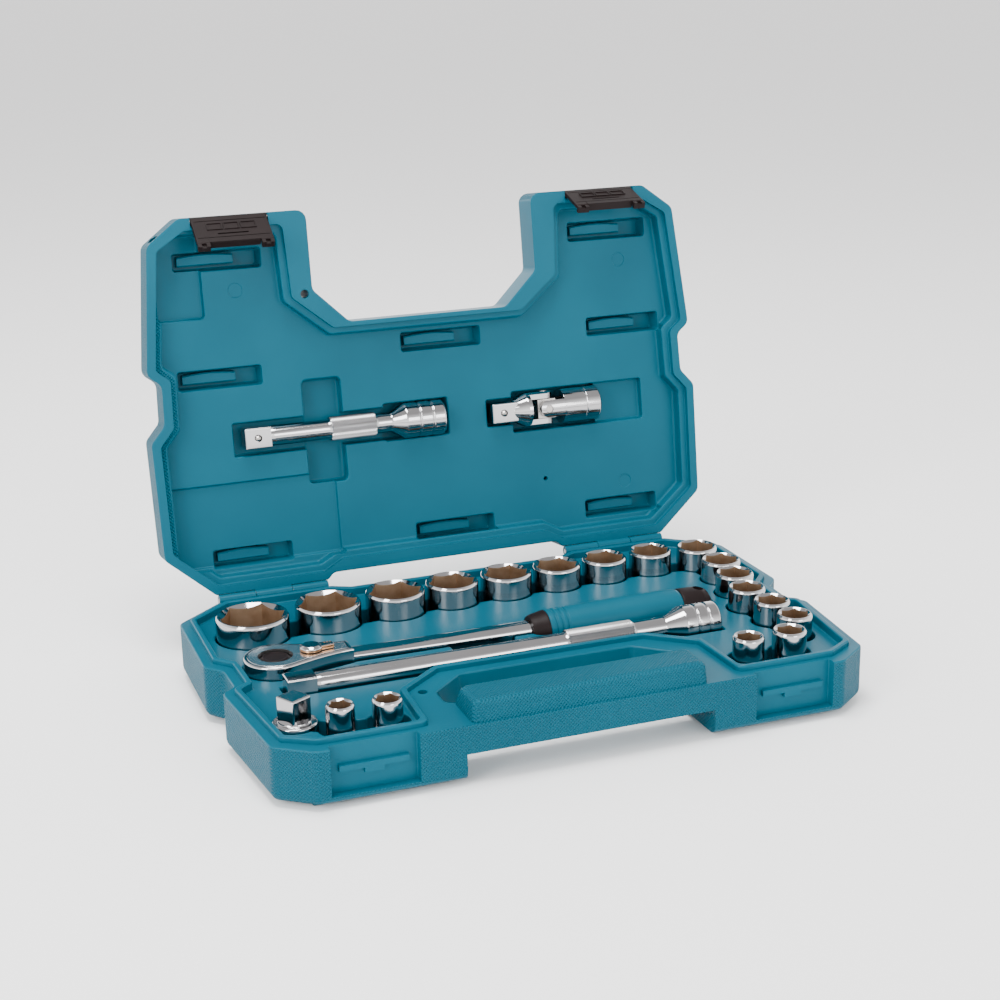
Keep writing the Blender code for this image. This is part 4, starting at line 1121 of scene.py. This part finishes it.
def grip_piece(shape, name, start, material, node, bore_end=100, holes=()):
    """Bores a turned piece of the grip and slides it onto the ratchet's bar."""
    bore = bar((0, 0, -5), (0, 0, bore_end), GRIP_BORE, 40)
    where = ratchet_at @ Matrix.Translation((start, 0, 0)) @ ALONG_X
    place(carve(shape, (), [bore, *holes]), name, where, [material], "ratchet", node)


collar = turned(eased([(9.0, 0), (9.8, 2), (10.4, 5.2), (10.9, 7.5), (11.2, 9.0), (11.2, 9.7)], 0.4))
grip_piece(collar, "grip_collar", 147.0, dark, "ratchet_grip_collar")
sleeve_profile = [(10.8, 0), (11.2, 0.6)]
for groove in (4.0, 7.5, 11.0):
    sleeve_profile += [(11.3, groove - 0.8), (10.7, groove - 0.4), (10.7, groove + 0.4), (11.4, groove + 0.8)]
sleeve_profile += [(11.9, 36), (12.0, 55), (12.0, 73), (11.6, 81.5), (11.0, 83)]
sleeve = turned(eased(sleeve_profile, 0.5))
grip_piece(sleeve, "grip_sleeve", 157.0, sleeve_teal, "ratchet_grip_sleeve")
cap = turned(eased([(11.0, 0), (11.5, 0.5), (11.5, 3), (11.2, 13.5), (9.8, 17.3), (6.5, 19.5), (5.5, 19.7)], 0.8))
hanging_hole = bar((-15, 0, 13), (15, 0, 13), 3.2, 32)
grip_piece(cap, "grip_end_cap", 240.3, dark, "ratchet_grip_end_cap", 6.0, [hanging_hole])


# The floor, the soft lights and the camera: a pale studio table with large lamps above and to the sides.

CAMERA_SPOT = (-0.3439, -0.9297, 0.4134)
CAMERA_LENS = 66.14


def stage_floor():
    shape = bmesh.new()
    bmesh.ops.create_grid(shape, x_segments=1, y_segments=1, size=60.0)
    mesh = bpy.data.meshes.new("studio_floor")
    shape.to_mesh(mesh)
    shape.free()
    floor = linked("studio_floor", mesh)
    pale = bpy.data.materials.new("pale_floor")
    pale.use_nodes = True
    shader = pale.node_tree.nodes["Principled BSDF"]
    shader.inputs["Base Color"].default_value = (0.97, 0.97, 0.97, 1)
    shader.inputs["Roughness"].default_value = 0.9
    mesh.materials.append(pale)
    floor.location.z = -0.0005


def soft_lamp(name, place_at, aim, width, height, power):
    lamp = bpy.data.lights.new(name, "AREA")
    lamp.shape = "RECTANGLE"
    lamp.size = width
    lamp.size_y = height
    lamp.energy = power
    made = linked(name, lamp)
    made.location = place_at
    made.rotation_euler = (Vector(aim) - Vector(place_at)).to_track_quat("-Z", "Y").to_euler()


stage_floor()
world = bpy.data.worlds.new("studio")
world.use_nodes = True
room = world.node_tree
direction = node_of(room, "ShaderNodeSeparateXYZ")
room.links.new(node_of(room, "ShaderNodeTexCoord").outputs["Generated"], direction.inputs["Vector"])
walls = node_of(room, "ShaderNodeValToRGB")
walls.color_ramp.elements[0].position = 0.12
walls.color_ramp.elements[0].color = (1, 1, 1, 1)
walls.color_ramp.elements[1].position = 0.75
walls.color_ramp.elements[1].color = (0.24, 0.235, 0.235, 1)
room.links.new(direction.outputs["Z"], walls.inputs["Fac"])
room.links.new(walls.outputs["Color"], room.nodes["Background"].inputs["Color"])
room.nodes["Background"].inputs["Strength"].default_value = 3.3
bpy.context.scene.world = world
soft_lamp("lamp_above", (-0.2, -0.1, 1.7), (0, 0, 0.05), 0.9, 0.7, 42)
soft_lamp("lamp_left", (-1.4, -0.9, 1.0), (0, 0, 0.1), 0.6, 1.0, 22)
soft_lamp("lamp_front", (0.5, -1.8, 0.8), (0, 0, 0.1), 0.8, 0.6, 9)

eye = bpy.data.cameras.new("camera")
eye.lens = CAMERA_LENS
eye.sensor_width = 36.0
camera = linked("camera", eye)
ahead = Vector((0.33372, 0.89313, -0.30157))
right = Vector((0.93462, -0.35521, -0.01772))
up = right.cross(ahead)
facing = Matrix((right, up, -ahead)).transposed().to_4x4()
camera.matrix_world = Matrix.Translation(CAMERA_SPOT) @ facing
bpy.context.scene.camera = camera
